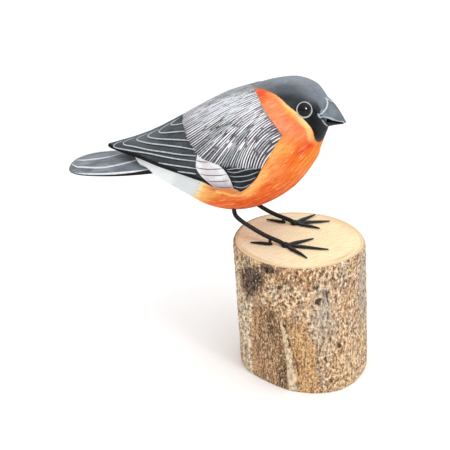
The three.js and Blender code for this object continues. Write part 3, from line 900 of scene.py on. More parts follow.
def brushed(colour, light, dark, strength, brush):
    """Lays a colour in brush strokes, and gives the colour and the height of the strokes."""
    colours = {"Colour": colour, "Light": tint(light), "Dark": tint(dark)}
    inputs = {**colours, "Brush": brush, "Strength": strength}
    node = add(brush.tree, "ShaderNodeGroup", inputs, node_tree=brushwork)
    return [Flow(brush.tree, node.outputs[title]) for title in ("Colour", "Height")]


def body_recipe(tree):
    strokes = kept(tree, "brush", "Vector")
    orange = kept(tree, "breast_colour", "Color")
    light = mix(0.36, orange, "#fed694")
    dark = mix(0.35, orange, "#dc4a1c", "MULTIPLY")
    orange, height = brushed(orange, light, dark, kept(tree, "stroked") * 0.6, strokes)
    slate = kept(tree, "cap_colour", "Color")
    pale = mix(1.0, slate, (1.7, 1.7, 1.7, 1.0), "MULTIPLY")
    slate, _ = brushed(slate, pale, mix(0.5, slate, "#0c0d0e"), 0.3, strokes * (2.6, 1.2, 1.2))
    is_cap = fade(kept(tree, "cap") + (noise(strokes, 1.2, 2) - 0.5) * 0.5, -0.12, 0.18)
    colour = mix(is_cap, orange, slate)
    return {"Base Color": colour, "Roughness": fade(is_cap, 0, 1, 0.62, 0.5), "Height": height}


body_paint = new_material("hand_painted_breast_and_cap", body_recipe, Specular_IOR_Level=0.08)
settle(body, "painted_breast", "torso", "head", finish=body_paint)

# The eyes
# Two glossy black beads let into the head, each with a thin pale ring painted round it. The painted
# ring stands up a little, as thick paint does.
BEAD_RADIUS = 3.55
BEAD_DEPTH = 1.2
RING_RADIUS = 3.72
RING_STEPS = 61
RING_THICKEST_AT = math.radians(240)


def bead(centre, radius, rings=40, sides=64):
    """A smooth ball whose rows run round the sideways axis."""
    angle = np.linspace(0, 2 * math.pi, sides, endpoint=False)
    rows = []
    for tip in np.linspace(0.02, math.pi - 0.02, rings):
        r, y = radius * math.sin(tip), -radius * math.cos(tip)
        rows.append(np.stack([r * np.cos(angle), np.full(sides, y), r * np.sin(angle)], -1) + centre)
    return closed_skin(rows)


def eye_recipe(tree):
    smoke = noise(place_in_mm(tree), 1.5, 2)
    return {"Base Color": mix(fade(smoke, 0.4, 0.7), "#050506", "#0e0c0c"), "Height": smoke * 0.002}


def on_side(points, mirror):
    """Points measured from the bird's middle plane, put in place on its right (1) or left (-1)."""
    return np.asarray(points) * (1, mirror, 1) + (0, BIRD_MIDDLE_Y, 0)


eye_black = new_material("glass_bead_eye", eye_recipe, Roughness=0.06, Specular_IOR_Level=0.22)
head_points = body_rings.reshape(-1, 3)
nearest = np.argmin(np.linalg.norm(head_points - EYE_CENTRE, axis=1))
eye_seat = head_points[nearest]
eye_outward = outward_of(body_rings).reshape(-1, 3)[nearest]
for name, mirror in {"right": 1, "left": -1}.items():
    centre = on_side(eye_seat - BEAD_DEPTH * eye_outward, mirror)
    eye = new_object("bead_eye_" + name, *bead(centre, BEAD_RADIUS))
    settle(eye, "eye_bead", "eye_" + name, finish=eye_black)

# A raised line of paint: its guide is laid on the surface, and a flat dab is swept along it
lining, given = new_growth(
    "painted_line", Surface="Object", Width="Float", Thickness="Float", Taper="Float", Step="Float"
)
path = flow(lining, "GeometryNodeMeshToCurve", {0: given["Geometry"]})
path = flow(lining, "GeometryNodeResampleCurve", {"Curve": path, "Length": given["Step"]}, mode="LENGTH")
ground = flow(lining, "GeometryNodeObjectInfo", {"Object": given["Surface"]}, "Geometry")
touching = flow(lining, "GeometryNodeProximity", {0: ground}, "Position", target_element="FACES")
path = flow(lining, "GeometryNodeSetPosition", {"Geometry": path, "Position": touching})
facing = {"Mesh": ground, "Value": flow(lining, "GeometryNodeInputNormal")}
facing = flow(lining, "GeometryNodeSampleNearestSurface", facing, data_type="FLOAT_VECTOR")
path = flow(lining, "GeometryNodeSetCurveNormal", {"Curve": path, "Normal": facing}, mode="FREE")
share = flow(lining, "GeometryNodeSplineParameter", output="Factor")
drawn_out = fade(calc("MINIMUM", share, 1.0 - share), 0, 0.22, 0.15, 1)
fullness = (1.0 - given["Taper"] * (1.0 - drawn_out)) * from_mesh(lining, "weight")
half_size = {"X": given["Thickness"], "Y": given["Width"] * 0.5, "Z": 1.0}
half_size = flow(lining, "ShaderNodeCombineXYZ", half_size)
dab = flow(lining, "GeometryNodeCurvePrimitiveCircle", {"Resolution": 6, "Radius": 1.0})
dab = flow(lining, "GeometryNodeTransform", {"Geometry": dab, "Scale": half_size})
ribbon = {"Curve": path, "Profile Curve": dab, "Scale": fullness, "Fill Caps": True}
end_growth(given, flow(lining, "GeometryNodeCurveToMesh", ribbon))


def line_guides(name, lines):
    """Many bare lines as one guide. A line is its points, its tone and the weight of the brush on it."""
    points, edges, tones, weights = [], [], [], []
    for line, tone, weight in lines:
        start = len(points)
        points += [tuple(p) for p in line]
        edges += [(start + i, start + i + 1) for i in range(len(line) - 1)]
        tones += [tone] * len(line)
        weights += list(np.broadcast_to(weight, len(line)))
    guide = new_object(name, points, [], edges)
    keep(guide, tone=tones, weight=weights)
    return guide


def line_recipe(tree):
    smears = noise(place_in_mm(tree), 0.8, 2, 0.6)
    tone = kept(tree, "tone") + fade(smears, 0.3, 0.7, -0.05, 0.05)
    dark = mix(fade(tone, 0.0, 0.35), "#1d1a1f", "#75676f")
    pale = mix(fade(tone, 0.65, 1.0), "#a3b0b4", "#f6f7fa")
    return {"Base Color": mix(fade(tone, 0.35, 0.65), dark, pale), "Height": smears * 0.05}


line_paint = new_material("thick_line_paint", line_recipe, Roughness=0.55, Specular_IOR_Level=0.15)


def paint_lines(name, lines, surface, slot, width, thickness, taper, step=0.4):
    """Paints lines with a fine brush on a surface, so that they stand up a little from it."""
    made = grow(
        name, line_guides(name + "_guide", lines), lining, Surface=surface, Width=width * MM,
        Thickness=thickness * MM, Taper=taper, Step=step * MM, Finish=line_paint,
    )
    settle(made, slot)


def both_sides(lines):
    """Lines on the bird's right, moved to its middle plane, and their mirror images on its left."""
    return [(on_side(points, mirror), tone, weight) for points, tone, weight in lines for mirror in (1, -1)]


ring_angle = np.linspace(0, 2 * math.pi, RING_STEPS)[:, None]
ring_across = np.cross(eye_outward, (0, 0, 1))
ring_across /= np.linalg.norm(ring_across)
ring_up = np.cross(ring_across, eye_outward)
ring = eye_seat + RING_RADIUS * (np.cos(ring_angle) * ring_across + np.sin(ring_angle) * ring_up)
ring_weight = 1.0 + 0.3 * np.cos(ring_angle[:, 0] - RING_THICKEST_AT)
eye_rings = both_sides([(ring, 0.74, ring_weight)])
paint_lines("painted_eye_rings", eye_rings, body, "painted_cap", 0.8, 0.3, 0.0)

# The bill
# Carved in one with the head and painted slate grey, with a keeled ridge and a nearly black lower
# half. Pale lines of paint mark its root and the cutting edge of its upper half.
BILL_KEEL = 1.5
UPPER_BILL = [
    (5.6, 148.4, 2.4, 141, 10.5, 0.2), (7.3, 147.9, 4.6, 139.7, 9.8, 0.18),
    (9.9, 146.2, 7.2, 138.5, 7.2, 0.16), (12.8, 142.8, 10.6, 137.4, 4.6, 0.16),
    (15.1, 139.4, 13.7, 136.3, 2.5, 0.2), (17.2, 135.9, 16.8, 135.1, 0.5, 0.5),
]
LOWER_BILL = [
    (2.8, 140.2, 5, 131.8, 10.2, 0.85), (6.4, 138.2, 8.2, 132.9, 7.6, 0.85),
    (9.9, 137.3, 10.8, 133.6, 4.6, 0.85), (13, 136, 13.4, 134.2, 2.4, 0.8),
    (15.9, 135.3, 16, 134.7, 0.5, 0.5),
]
UPPER_ROOT = rounded([(4.0, 13.4), (5.2, 10.4), (5.7, 7.3), (6.1, 4.3), (6.4, 2.2), (7.9, 1.5), (10, 0)])
BILL_RINGS = 70
BILL_COLUMNS = 96


def bill_recipe(tree):
    place = place_in_mm(tree)
    slate = mix(fade(noise(place, 5, 2), 0.35, 0.65), "#646c74", "#7c848d")
    slate, height = brushed(slate, "#868f98", "#4a4f55", 0.3, place * (0.6, 1, 1))
    # Above the bill's root the crown's grey runs on, partly slate paint and partly painted sheen; below it
    # the face is black.
    behind = mix(fade(along_axis(place, "Z"), 143.5, 145.5), "#0e0e0f", "#727981")
    return {"Base Color": mix(fade(kept(tree, "grey"), -0.1, 0.15), behind, slate), "Height": height}


bill_paint = new_material("slate_bill_paint", bill_recipe, Roughness=0.45, Specular_IOR_Level=0.2)
bill_turn = np.linspace(-math.pi, math.pi, BILL_COLUMNS, endpoint=False)
face_forms = [body]
for name, sections in {"upper": UPPER_BILL, "lower": LOWER_BILL}.items():
    rings = carved(sections, BILL_RINGS, bill_turn, keel=BILL_KEEL)
    places = tape_places(rings)
    half = new_object("carved_bill_" + name, *closed_skin(rings + (0, BIRD_MIDDLE_Y, 0)))
    grey = np.full(len(places), -1.0)
    if name == "upper":
        grey = depth_in(places, [*UPPER_ROOT, (30, 0), (30, 40), (4, 40)])
    keep(half, grey=np.append(grey, [-1.0, grey[-1]]))
    settle(half, "painted_bill", "bill_" + name, finish=bill_paint)
    face_forms.append(half)

# The pale lines run over the bill and on to the head, on the bird's right of its middle plane
ROOT_LINE = [
    (10.4, -0.1, 145.6), (9.4, -0.9, 146.4), (8.1, -1.2, 147.2), (6.9, -2.1, 148.1), (7.3, -2.2, 147.4),
    (7.9, -3.1, 146.5), (8, -4.7, 145.4), (7.7, -6.3, 144.2), (6.9, -7.8, 143.3), (5.6, -9.5, 142.3),
    (4.7, -10.6, 142.3),
]
GAPE_LINE = [(4.4, -10.8, 143), (4.6, -10.7, 142.2), (5.2, -10.3, 141.1), (6.1, -9.2, 140.4)]
CUTTING_LINE = [
    (5.6, -9.8, 141), (7.5, -7.4, 140.2), (9.8, -5.6, 139.1), (12.5, -3.3, 137.4), (16, -0.9, 136.3),
]
LOWER_ROOT_LINE = [(6.1, -9.5, 139.5), (7.2, -7.9, 137.4), (8, -6.3, 135.8), (8.6, -4.4, 134.5)]


def drawn(corners, tone, *weights):
    """A line through its corners, with the weight of the brush at even steps along it."""
    line = rounded(corners)
    return line, tone, np.interp(np.linspace(0, 1, len(line)), np.linspace(0, 1, len(weights)), weights)


face_surface = new_object("face_surface", *joined(*[
    (np.array([v.co for v in form.data.vertices]) / MM, [list(f.vertices) for f in form.data.polygons])
    for form in face_forms
]))
bill_lines = both_sides([
    drawn(ROOT_LINE, 0.78, 0.8, 0.9, 1.3, 1.3, 1.2, 1.0, 0.8),
    drawn(CUTTING_LINE, 0.68, 0.7, 0.9, 1.4, 1.6, 1.0),
    drawn(LOWER_ROOT_LINE, 0.6, 0.9, 0.9),
    drawn(GAPE_LINE, 0.58, 1.4, 1.7, 1.2),
])
paint_lines("painted_bill_lines", bill_lines, face_surface, "painted_bill", 0.85, 0.16, 0.5, 0.25)
bpy.data.objects.remove(face_surface)

# The tail
# A leaf of wood, thick at its root and thin at its tip, glued under the rump. It is painted slate
# grey, paler than the wings, and thin pale lines part its feathers.
TAIL_SECTIONS = [
    # x, height of the rim's underside and top, half width
    (-126.9, 101, 101.9, 3.5), (-125.9, 100.9, 102.2, 7.2), (-122.8, 100.7, 103, 10.8),
    (-117, 100.9, 104.2, 13.4), (-108, 101.5, 105.5, 14.6), (-98, 102, 106.9, 14.2),
    (-88, 102.4, 108.4, 12.3), (-77, 102.8, 109.8, 8.6),
]
TAIL_CROWN = 1.4
TAIL_ROLL = 0.06
TAIL_WIDEST = 14.6
RIM_LINE_TURN = math.radians(5)
TAIL_LINES = [
    [(-125.4, 1.6), (-121, -0.7), (-117.3, -1.6), (-108.6, -0.7), (-101.2, 3.3), (-97, 6)],
    [
        (-125.6, -3), (-123, -6), (-119.4, -8.4), (-108.8, -10.6), (-100.7, -9.5), (-92.7, -6.5),
        (-86, -3.2),
    ],
]
TAIL_RINGS = 120
TAIL_COLUMNS = 96
RIM_STEPS = 90
RIM_REACH = 6.6
LINE_START = 30


def tail_height(row, side, rise):
    crown = TAIL_CROWN * (1 - side**2) * row[..., 3] / TAIL_WIDEST
    middle = (row[..., 1] + row[..., 2]) / 2 + rise * (row[..., 2] - row[..., 1]) / 2
    return middle + crown + TAIL_ROLL * side * row[..., 3]


tail_at = np.linspace(0, len(TAIL_SECTIONS) - 1, TAIL_RINGS)
tail_angle = np.linspace(0, 2 * math.pi, TAIL_COLUMNS, endpoint=False)
tail_at, tail_angle = np.meshgrid(tail_at, tail_angle, indexing="ij")
tail_row = along(TAIL_SECTIONS, tail_at)
tail_side = np.cos(tail_angle)
tail_rise = np.sign(np.sin(tail_angle)) * np.abs(np.sin(tail_angle)) ** 0.5
tail_across = tail_side * tail_row[..., 3] + BIRD_MIDDLE_Y
tail_rings = np.stack([tail_row[..., 0], tail_across, tail_height(tail_row, tail_side, tail_rise)], -1)
tail = new_object("carved_tail", *closed_skin(tail_rings))


def slate_recipe(tree, ground, light, dark, grain):
    """Slate grey paint, laid thinly along the feathers and rubbed a little."""
    place = place_in_mm(tree)
    speckle = noise(place, 0.8, 2, 0.7)
    colour = mix(fade(noise(place * (0.5, 1, 1), 6, 3), 0.35, 0.65), ground, light)
    colour = mix(fade(speckle, 0.55, 0.75, 0, grain), colour, light)
    return [*brushed(colour, light, dark, 0.35, place), place]


def tail_recipe(tree):
    colour, height, place = slate_recipe(tree, "#646b71", "#8b9299", "#3d4246", 0.6)
    x_place = along_axis(place, "X")
    colour = coats(
        colour,
        (fade(x_place, -100, -86, 0, 0.5), "#4b5156"),
        # The side of the tail below its rim line is painted near black: painted shade on its edge and
        # underside.
        (fade(kept(tree, "under_rim"), 0, 0.5) * fade(x_place, -110, -98, 0.75, 1), "#191b1d"),
    )
    return {"Base Color": colour, "Height": height}


# The pale lines: one down the middle, one on each side of it, and one along each rim
tail_lines = []
for line in TAIL_LINES:
    x, y = rounded(line).T
    row = np.stack([np.interp(x, *np.array(TAIL_SECTIONS)[:, [0, k]].T) for k in range(4)], -1)
    side = np.clip(y / row[:, 3], -1, 1)
    points = np.stack([x, y, tail_height(row, side, np.abs(1 - side**2) ** 0.25)], -1)
    tail_lines.append((points, 0.84, 1.7))
rim_row = along(TAIL_SECTIONS, np.linspace(0, RIM_REACH, RIM_STEPS))
rim_side = np.full(RIM_STEPS, -math.cos(RIM_LINE_TURN))
rim_height = tail_height(rim_row, rim_side, math.sin(RIM_LINE_TURN) ** 0.5)
rim = np.stack([rim_row[:, 0], rim_side * rim_row[:, 3], rim_height], -1)
rim_weight = np.interp(np.arange(RIM_STEPS - LINE_START), [0, 20, 40, 59], [0.7, 1.1, 1.5, 1.1])
near_rim, far_rim = [(rim[LINE_START:] - (0, 0, drop), 0.86, rim_weight) for drop in (0, 0.7)]

tail_points = tail_rings.reshape(-1, 3)
from_middle = np.abs(tail_points[:, 1] - BIRD_MIDDLE_Y)
lean = TAIL_ROLL * (tail_points[:, 1] - BIRD_MIDDLE_Y + from_middle)
under_rim = np.minimum(
    np.interp(tail_points[:, 0], rim[:, 0], rim[:, 2]) + lean - tail_points[:, 2],
    from_middle - np.interp(tail_points[:, 0], rim[:, 0], -rim[:, 1]) + 1.0,
)
keep(tail, under_rim=np.append(under_rim, [-1.0, -1.0]))
tail_paint = new_material("slate_tail_paint", tail_recipe, Roughness=0.6, Specular_IOR_Level=0.15)
settle(tail, "painted_tail", "tail", finish=tail_paint)
middle_line, *side_lines = both_sides(tail_lines)
tail_lines = [middle_line, *side_lines[1:], both_sides([near_rim])[0], both_sides([far_rim])[1]]
paint_lines("painted_tail_lines", tail_lines, tail, "painted_tail", 0.85, 0.14, 0.8)

# The folded wings
# Carved in the same block as the back, standing slightly proud of the body, with their joined tips
# over the tail. Painted mauve grey on the mantle, slate on the flight feathers, with a white bar.
FOLDED_WINGS = [
    (-106, 114.4, -104.5, 112.6, 1.3, 0.45), (-100, 116.4, -97, 110, 4.7, 0.45),
    (-91.5, 119.4, -87.5, 107, 9.2, 0.45), (-82, 123.6, -77, 102, 14.2, 0.45),
    (-71.5, 129.6, -65, 95, 18.9, 0.46), (-58.5, 137.8, -51, 88, 22.8, 0.48), *BODY_SECTIONS[4:],
]
WING_PROUD = 0.4
wing_tape = Tape(FOLDED_WINGS, WING_PROUD)
# The wing's edge from the nape down the mantle's front to the tip, by x and down
MANTLE_FRONT = [
    (-30.6, 0), (-28.6, 4.5), (-26.9, 8.5), (-24.6, 13.2), (-21.4, 20), (-17.5, 25.7), (-14, 30.2),
    (-11.5, 33.6),
]
COVERTS_FRONT = [
    (-11.5, 33.6), (-13.5, 37.1), (-16.8, 42.7), (-20.6, 49.3), (-23.1, 54.1), (-25.9, 56.8),
    (-28.4, 59), (-31, 60.2),
]
LOWER_EDGE = [
    (-31, 60.2), (-32.6, 58.8), (-34.2, 57.3), (-36.4, 56.1), (-40.6, 54.7), (-43.9, 52.9),
    (-50, 46.6), (-55.3, 42), (-64.3, 34.2), (-77, 23.7), (-86.6, 15.8), (-96.8, 8.7), (-103.9, 3.7),
    (-105.9, 1.7),
]
WING_ROWS = 300
WING_COLUMNS = 110
FRONT_ROWS = 62
EDGE_RADIUS = 0.35
EDGE_ROLLS = np.radians([22, 45, 68, 90])
EDGE_DEPTH = 2.2
STEEPEST_COMB = math.radians(70)


def evenly(line, count):
    """A line laid out again in even steps."""
    reach = np.append(0, np.cumsum(np.hypot(*np.diff(line, axis=0).T)))
    at = np.linspace(0, reach[-1], count)
    return np.stack([np.interp(at, reach, line[:, k]) for k in range(2)], -1)


border = np.vstack([
    evenly(rounded(MANTLE_FRONT), FRONT_ROWS)[:-1],
    evenly(rounded(COVERTS_FRONT), FRONT_ROWS)[:-1],
    evenly(rounded(LOWER_EDGE), WING_ROWS - 2 * FRONT_ROWS + 2),
])
top_line_x = border[0, 0] + (border[-1, 0] - border[0, 0]) * np.linspace(0, 1, WING_ROWS) ** 1.25
top_line = np.stack([top_line_x, np.zeros(WING_ROWS)], -1)
shares = np.linspace(0, 1, WING_COLUMNS + 1)
wing_places = top_line[:, None] + (border - top_line)[:, None] * shares[None, :, None]
wing_skin = wing_tape.lay(wing_places.reshape(-1, 2)).reshape(WING_ROWS, WING_COLUMNS + 1, 3)
wing_skin[:, 0, 1] = 0

# The edge is rounded over, then goes straight in, and the underside runs flat to the other wing
edge = wing_skin[:, -1]
toward_edge = unit(edge - wing_skin[:, -3])
edge_out = unit(np.cross(unit(np.gradient(edge, axis=0)), toward_edge))
edge_out *= np.sign(-edge_out[:, 1:2] + 1e-6)
roll_centre = edge - EDGE_RADIUS * (toward_edge + edge_out)
rolls = [
    roll_centre + EDGE_RADIUS * (edge_out * math.cos(a) + toward_edge * math.sin(a))
    for a in EDGE_ROLLS
]
inward = np.minimum(EDGE_DEPTH, -0.7 * edge[:, 1])[:, None] * np.array([0, 1, 0])
inner = rolls[-1] + inward
under_rows = [rolls[-1] + inward * t for t in (0.33, 0.66, 1.0)] + [inner * (1, t, 1) for t in (0.66, 0.33)]
right_half = np.concatenate([wing_skin[:, :-1], np.stack(rolls + under_rows, 1)], 1)
left_half = (right_half[:, 1:] * (1, -1, 1))[:, ::-1]
wing_rings = np.concatenate([right_half, (inner * (1, 0, 1))[:, None], left_half], 1)
wing_points, wing_faces = closed_skin(wing_rings + (0, BIRD_MIDDLE_Y, 0))
wings = new_object("folded_wings_and_mantle", wing_points, wing_faces)

# What each place on the wings is painted, by x and down
edge_places = np.repeat(border[:, None], len(rolls) + len(under_rows), 1)
right_places = np.concatenate([wing_places[:, :-1], edge_places], 1)
all_places = np.concatenate([right_places, border[:, None], right_places[:, 1:][:, ::-1]], 1)
all_places = np.vstack([all_places.reshape(-1, 2), top_line[:1], top_line[-1:]])
MANTLE_REAR = rounded([
    (-66.2, -2), (-65.2, 2.5), (-63.4, 9.5), (-61.6, 15), (-59.2, 20.8), (-56.3, 25.9), (-53.4, 30.9),
    (-51.1, 33.8), (-47.2, 37.4), (-42, 41.4), (-37.5, 44.1), (-30.6, 46.4), (-24.1, 48.2), (-18, 49.6),
])
MANTLE_OUTLINE = [*MANTLE_REAR, (10, 50), (10, -30), (-66.2, -30)]
BAR_LEFT = rounded([(-53.2, 31), (-53.8, 35.7), (-53.2, 38.5), (-50.4, 43.6), (-47, 48.5), (-43.7, 53.6)])
BAR_RIGHT = rounded([(-34.3, 57.6), (-34.8, 55.5), (-36.6, 49.7), (-38.9, 45.3), (-42.1, 41.2)])
BAR_OUTLINE = [*BAR_LEFT, (-38, 62), *BAR_RIGHT, (-44, 36)]
COVERTS_OUTLINE = [(-45, 38), (-10, 46), (-10, 70), (-33, 70), *BAR_RIGHT]
# The dark grey daubs lie in the shaded patches listed further on and are painted shade; the pale daub at x
# -34 and 34.4 down is painted light.
MANTLE_DAUBS = [
    ("#a19ba1", -42, 1, 30, 8), ("#ced4dc", -45, 12, 14, 6.5), ("#c4cad2", -31, 18.5, 8, 6),
    ("#a6a1a8", -25, 22, 5, 5), ("#938b90", -61, 12, 4, 9), ("#b4b6bc", -55, 7, 6, 4),
    ("#8a8489", -45, 27, 5, 2.5), ("#b0adb3", -34, 34.4, 5.5, 2.8), ("#857e83", -25, 27.5, 4, 3),
    ("#565053", -42, 23.3, 5, 2), ("#555053", -46, 34.5, 6, 3), ("#555053", -36, 41.5, 12, 3.5),
    ("#5b5458", -19, 37, 3.5, 7),
]
wing_outline = [*border[::4], border[-1], (-105.9, -30), (-30.6, -30)]


def combing(places):
    """The way that the mantle's strokes lie, as an angle down from the bird's length."""
    x, down = places[..., 0], places[..., 1]
    spread = np.where(x < -29, 22.0, 18.0)
    return STEEPEST_COMB * (np.maximum(down, 0) / 42) ** 1.5 * bell((x + 29) / spread)


x, down = all_places.T
fan = combing(all_places)
comb_along = x * np.cos(fan) - down * np.sin(fan)
comb_across = x * np.sin(fan) * 0.5 + down
keep(
    wings,
    mantle=depth_in(all_places, MANTLE_OUTLINE),
    bar=depth_in(all_places, BAR_OUTLINE),
    coverts=depth_in(all_places, COVERTS_OUTLINE),
    mantle_colour=daubed("#6d666a", MANTLE_DAUBS, all_places),
    to_edge=np.abs(depth_in(all_places, wing_outline)),
    comb=np.stack([comb_along, comb_across, wing_points[:, 1] * 0.3], -1),
)


def wing_recipe(tree):
    slate, height, place = slate_recipe(tree, "#3f4347", "#52575c", "#1d2022", 0.35)
    wobble = noise(place, 1.3, 2) - 0.5
    to_edge = kept(tree, "to_edge") + wobble
    mauve = kept(tree, "mantle_colour", "Color")
    light, dark = mix(0.5, mauve, "#e3e4ea"), mix(0.5, mauve, "#423a3f")
    mauve, combed = brushed(mauve, light, dark, 0.6, kept(tree, "comb", "Vector"))
    bar_white_and_shade = mix(fade(noise(place, 5, 2), 0.4, 0.6), "#eaeaee", "#d9d2d6")
    # The white bar turns pinkish grey towards its lower end: painted shade where it faces down.
    bar_white_and_shade = mix(fade(along_axis(place, "Z"), 112, 104.5, 0, 0.9), bar_white_and_shade, "#a39195")
    jet = mix(fade(noise(place, 3, 2), 0.4, 0.6), "#1a1c1f", "#2a2d31")
    on_mantle = fade(kept(tree, "mantle") + wobble, -0.15, 0.25)
    colour = coats(
        slate,
        (fade(along_axis(place, "X"), -66, -92, 0, 0.65), "#6d7379"),
        # Darker slate towards the wings' lower edge and near black along it: painted shade under the edge.
        (fade(to_edge, 9, 2, 0, 0.6), "#303336"),
        (fade(to_edge, 1.9, 1.2), "#141516"),
        (fade(kept(tree, "coverts"), -0.1, 0.15), jet),
        (fade(kept(tree, "bar"), -0.1, 0.15), bar_white_and_shade),
        (on_mantle, mauve),
    )
    return {"Base Color": colour, "Height": height + combed * on_mantle}


wing_paint = new_material("painted_wings", wing_recipe, Roughness=0.6, Specular_IOR_Level=0.12)
settle(wings, "painted_wing", "wing_right", "wing_left", finish=wing_paint)

# The painted feather edges
# Thin pale lines, each drawn in one stroke of a fine brush round a feather, grey lines across the
# white bar and the black coverts, and short strokes combed over the mantle from the nape.
FLIGHT_FEATHERS = [
    [(-62.8, 10.4), (-66.9, 8.4), (-69.8, 6.4), (-70.9, 4.9), (-69.6, 3.4), (-67, 2.4)],
    [(-61.4, 15.8), (-68.8, 11.9), (-74.6, 8.6), (-76.9, 6.2), (-76.2, 4.4), (-73, 3.4), (-69.5, 2.6)],
    [(-58.0, 22.3), (-66.3, 17.3), (-75.9, 11.4), (-81.4, 7.4), (-83.1, 5.0), (-82, 3.6), (-77.8, 3.4)],
    [
        (-54.6, 28.4), (-62.6, 22.9), (-72.6, 16.4), (-80.8, 11.2), (-87.6, 6.4), (-89.3, 4.4),
        (-88.3, 3.0), (-84.3, 2.4),
    ],
    [
        (-53.8, 31.6), (-62.3, 26.5), (-72.1, 20), (-81.7, 13.9), (-90.2, 8.4), (-95.6, 5.3),
        (-96.8, 3.8), (-96, 2.4), (-91.8, 1.6),
    ],
    [
        (-53.9, 34), (-62.2, 28.8), (-71.9, 22.2), (-81.5, 15.7), (-92.7, 9.2), (-99.9, 5.2),
        (-102.4, 3.3), (-101.4, 2.2), (-98, 1.5),
    ],
    [(-53.7, 37.6), (-65.3, 29.9), (-74.5, 23.7)],
    [(-53.7, 40.2), (-58.4, 37.1), (-63.7, 33.6)],
]
BAR_LINES = [
    [(-53.4, 33.9), (-50.7, 35.9), (-47.5, 37.7)],
    [(-53.5, 37.2), (-51.3, 38.8), (-47.5, 41.1), (-43.7, 42.8), (-39.7, 44.3)],
    [(-51.2, 41.6), (-48.9, 43.2), (-45.4, 45.2), (-41.3, 47), (-37.6, 47.8)],
    [(-47.9, 46.8), (-44.5, 48.8), (-41.1, 50.3), (-36.4, 51.6)],
    [(-43.6, 52.2), (-41.2, 53.6), (-37.8, 55), (-35.1, 55.7)],
]
COVERT_LINES = [
    [(-37.6, 45.4), (-35.5, 45.8), (-32.9, 46.1), (-30.3, 46.9)],
    [(-37.4, 46.3), (-35.5, 47.4), (-32.9, 48.2), (-30.3, 48.1), (-27, 48), (-22.4, 48.6)],
    [(-36.2, 49.1), (-34.6, 50), (-32.3, 50.6), (-29.7, 51.1), (-26.4, 51.2), (-22, 50.4)],
    [(-35.4, 52.2), (-33.7, 53.1), (-30.4, 53.9), (-27.1, 54), (-23.6, 53.4)],
    [(-34.4, 55.4), (-32.5, 56.8), (-30.6, 57.5), (-28.6, 57.5), (-26.2, 56.4)],
]


def on_wing(lines, tone):
    return both_sides([(wing_tape.lay(rounded(line, 8)), tone, 1.0) for line in lines])


def in_the_lee(lines, drop):
    """A dark line just under each pale one, as far back as its hindmost point."""
    made = []
    for line in lines:
        hindmost = int(np.argmin([x for x, _ in line]))
        made.append([(x, down + drop) for x, down in line[: max(hindmost + 1, 2)]])
    return made


for name, lines, width, thickness, taper in [
    ("painted_flight_feathers", on_wing(FLIGHT_FEATHERS, 0.76), 0.75, 0.14, 0.5),
    ("painted_feather_shadows", on_wing(in_the_lee(FLIGHT_FEATHERS, 0.7), 0.04), 0.5, 0.08, 0.8),
    ("painted_bar_lines", on_wing(BAR_LINES, 0.25), 0.5, 0.1, 0.6),
    ("painted_covert_lines", on_wing(COVERT_LINES, 0.56), 0.6, 0.12, 0.7),
]:
    paint_lines(name, lines, wings, "painted_wing", width, thickness, taper)

COMB_GAP = 1.34
COMB_STEP = 0.5
COMB_REACH = 90
COMB_START = (-38, 24)
SHORTEST_LINE = 6
SHORTEST_STROKE = 4
SHADED_PATCHES = [
    # x, down, reach in each and how dark, below 0 where the mantle is lit
    (-42, 23.5, 7, 2.5, 1), (-30, 30.8, 5, 2.2, 1), (-18, 36, 3, 6, 1), (-46.5, 34.5, 5, 3.5, 1),
    (-38, 41, 9, 3, 1), (-59, 18, 4, 6, 1), (-51, 28.5, 5, 3, 1), (-41, 37.5, 4, 2.5, 0.8),
    (-33.5, 34.8, 6, 2.6, -1.2), (-43, 28.3, 5, 2, -0.8), (-25.5, 37, 4, 3, -0.8),
]
MANTLE_EDGE = np.array([
    *MANTLE_REAR[::-1], (-66, 0.3), (-29, 0.3), *rounded(MANTLE_FRONT[1:]), *rounded(COVERTS_FRONT[:4]),
])


def combed_lines(start, gap):
    """Even lines that follow the combing over the mantle, each about a gap from the next."""
    lines, waiting, taken = [], [np.array(start)], np.zeros((0, 2))
    while waiting:
        seed = waiting.pop(0)
        if len(taken) and np.min(np.hypot(*(taken - seed).T)) < gap * 0.95:
            continue
        line = [seed]
        for way in (-1, 1):
            run = []
            point = seed
            for _ in range(COMB_REACH):
                angle = combing(point)
                point = point + way * COMB_STEP * np.array([math.cos(angle), -math.sin(angle)])
                run.append(point)
            run = np.array(run)
            stopped = depth_in(run, MANTLE_EDGE) < -0.5
            if len(taken):
                reach = np.min(np.linalg.norm(run[:, None] - taken[None], axis=-1), axis=1)
                stopped |= reach < gap * 0.6
            run = run[: np.argmax(stopped)] if stopped.any() else run
            line = [*run[::-1], *line] if way < 0 else [*line, *run]
        if len(line) < SHORTEST_LINE or not inside(seed[None], MANTLE_EDGE)[0]:
            continue
        line = np.array(line)
        lines.append(line)
        taken = np.vstack([taken, line])
        for point in line[::2]:
            angle = combing(point)
            side = gap * np.array([math.sin(angle), math.cos(angle)])
            waiting += [point + side, point - side]
    return lines


def cut_up(dice, line, lengths, gaps):
    """A long line cut at random into single strokes of the brush."""
    strokes = []
    at = max(0, int(dice.uniform(-4, 3)))
    while at < len(line) - SHORTEST_STROKE:
        end = at + int(dice.uniform(*lengths) / COMB_STEP)
        strokes.append(line[at:end])
        at = end + max(1, int(dice.uniform(*gaps) / COMB_STEP))
    return strokes


def pale_band(x, down):
    """How far a place is in the whitish band across the upper mantle, from 0 to 1."""
    return bell((x + 40) / 17, (down - 15) / 6)


def ridge_share(x, down):
    """How far up the back a place is, from 0 on the sides to 1 along the ridge."""
    return np.clip((9 - down) / 6, 0, 1) * np.clip((x + 62) / 25, 0.35, 1)


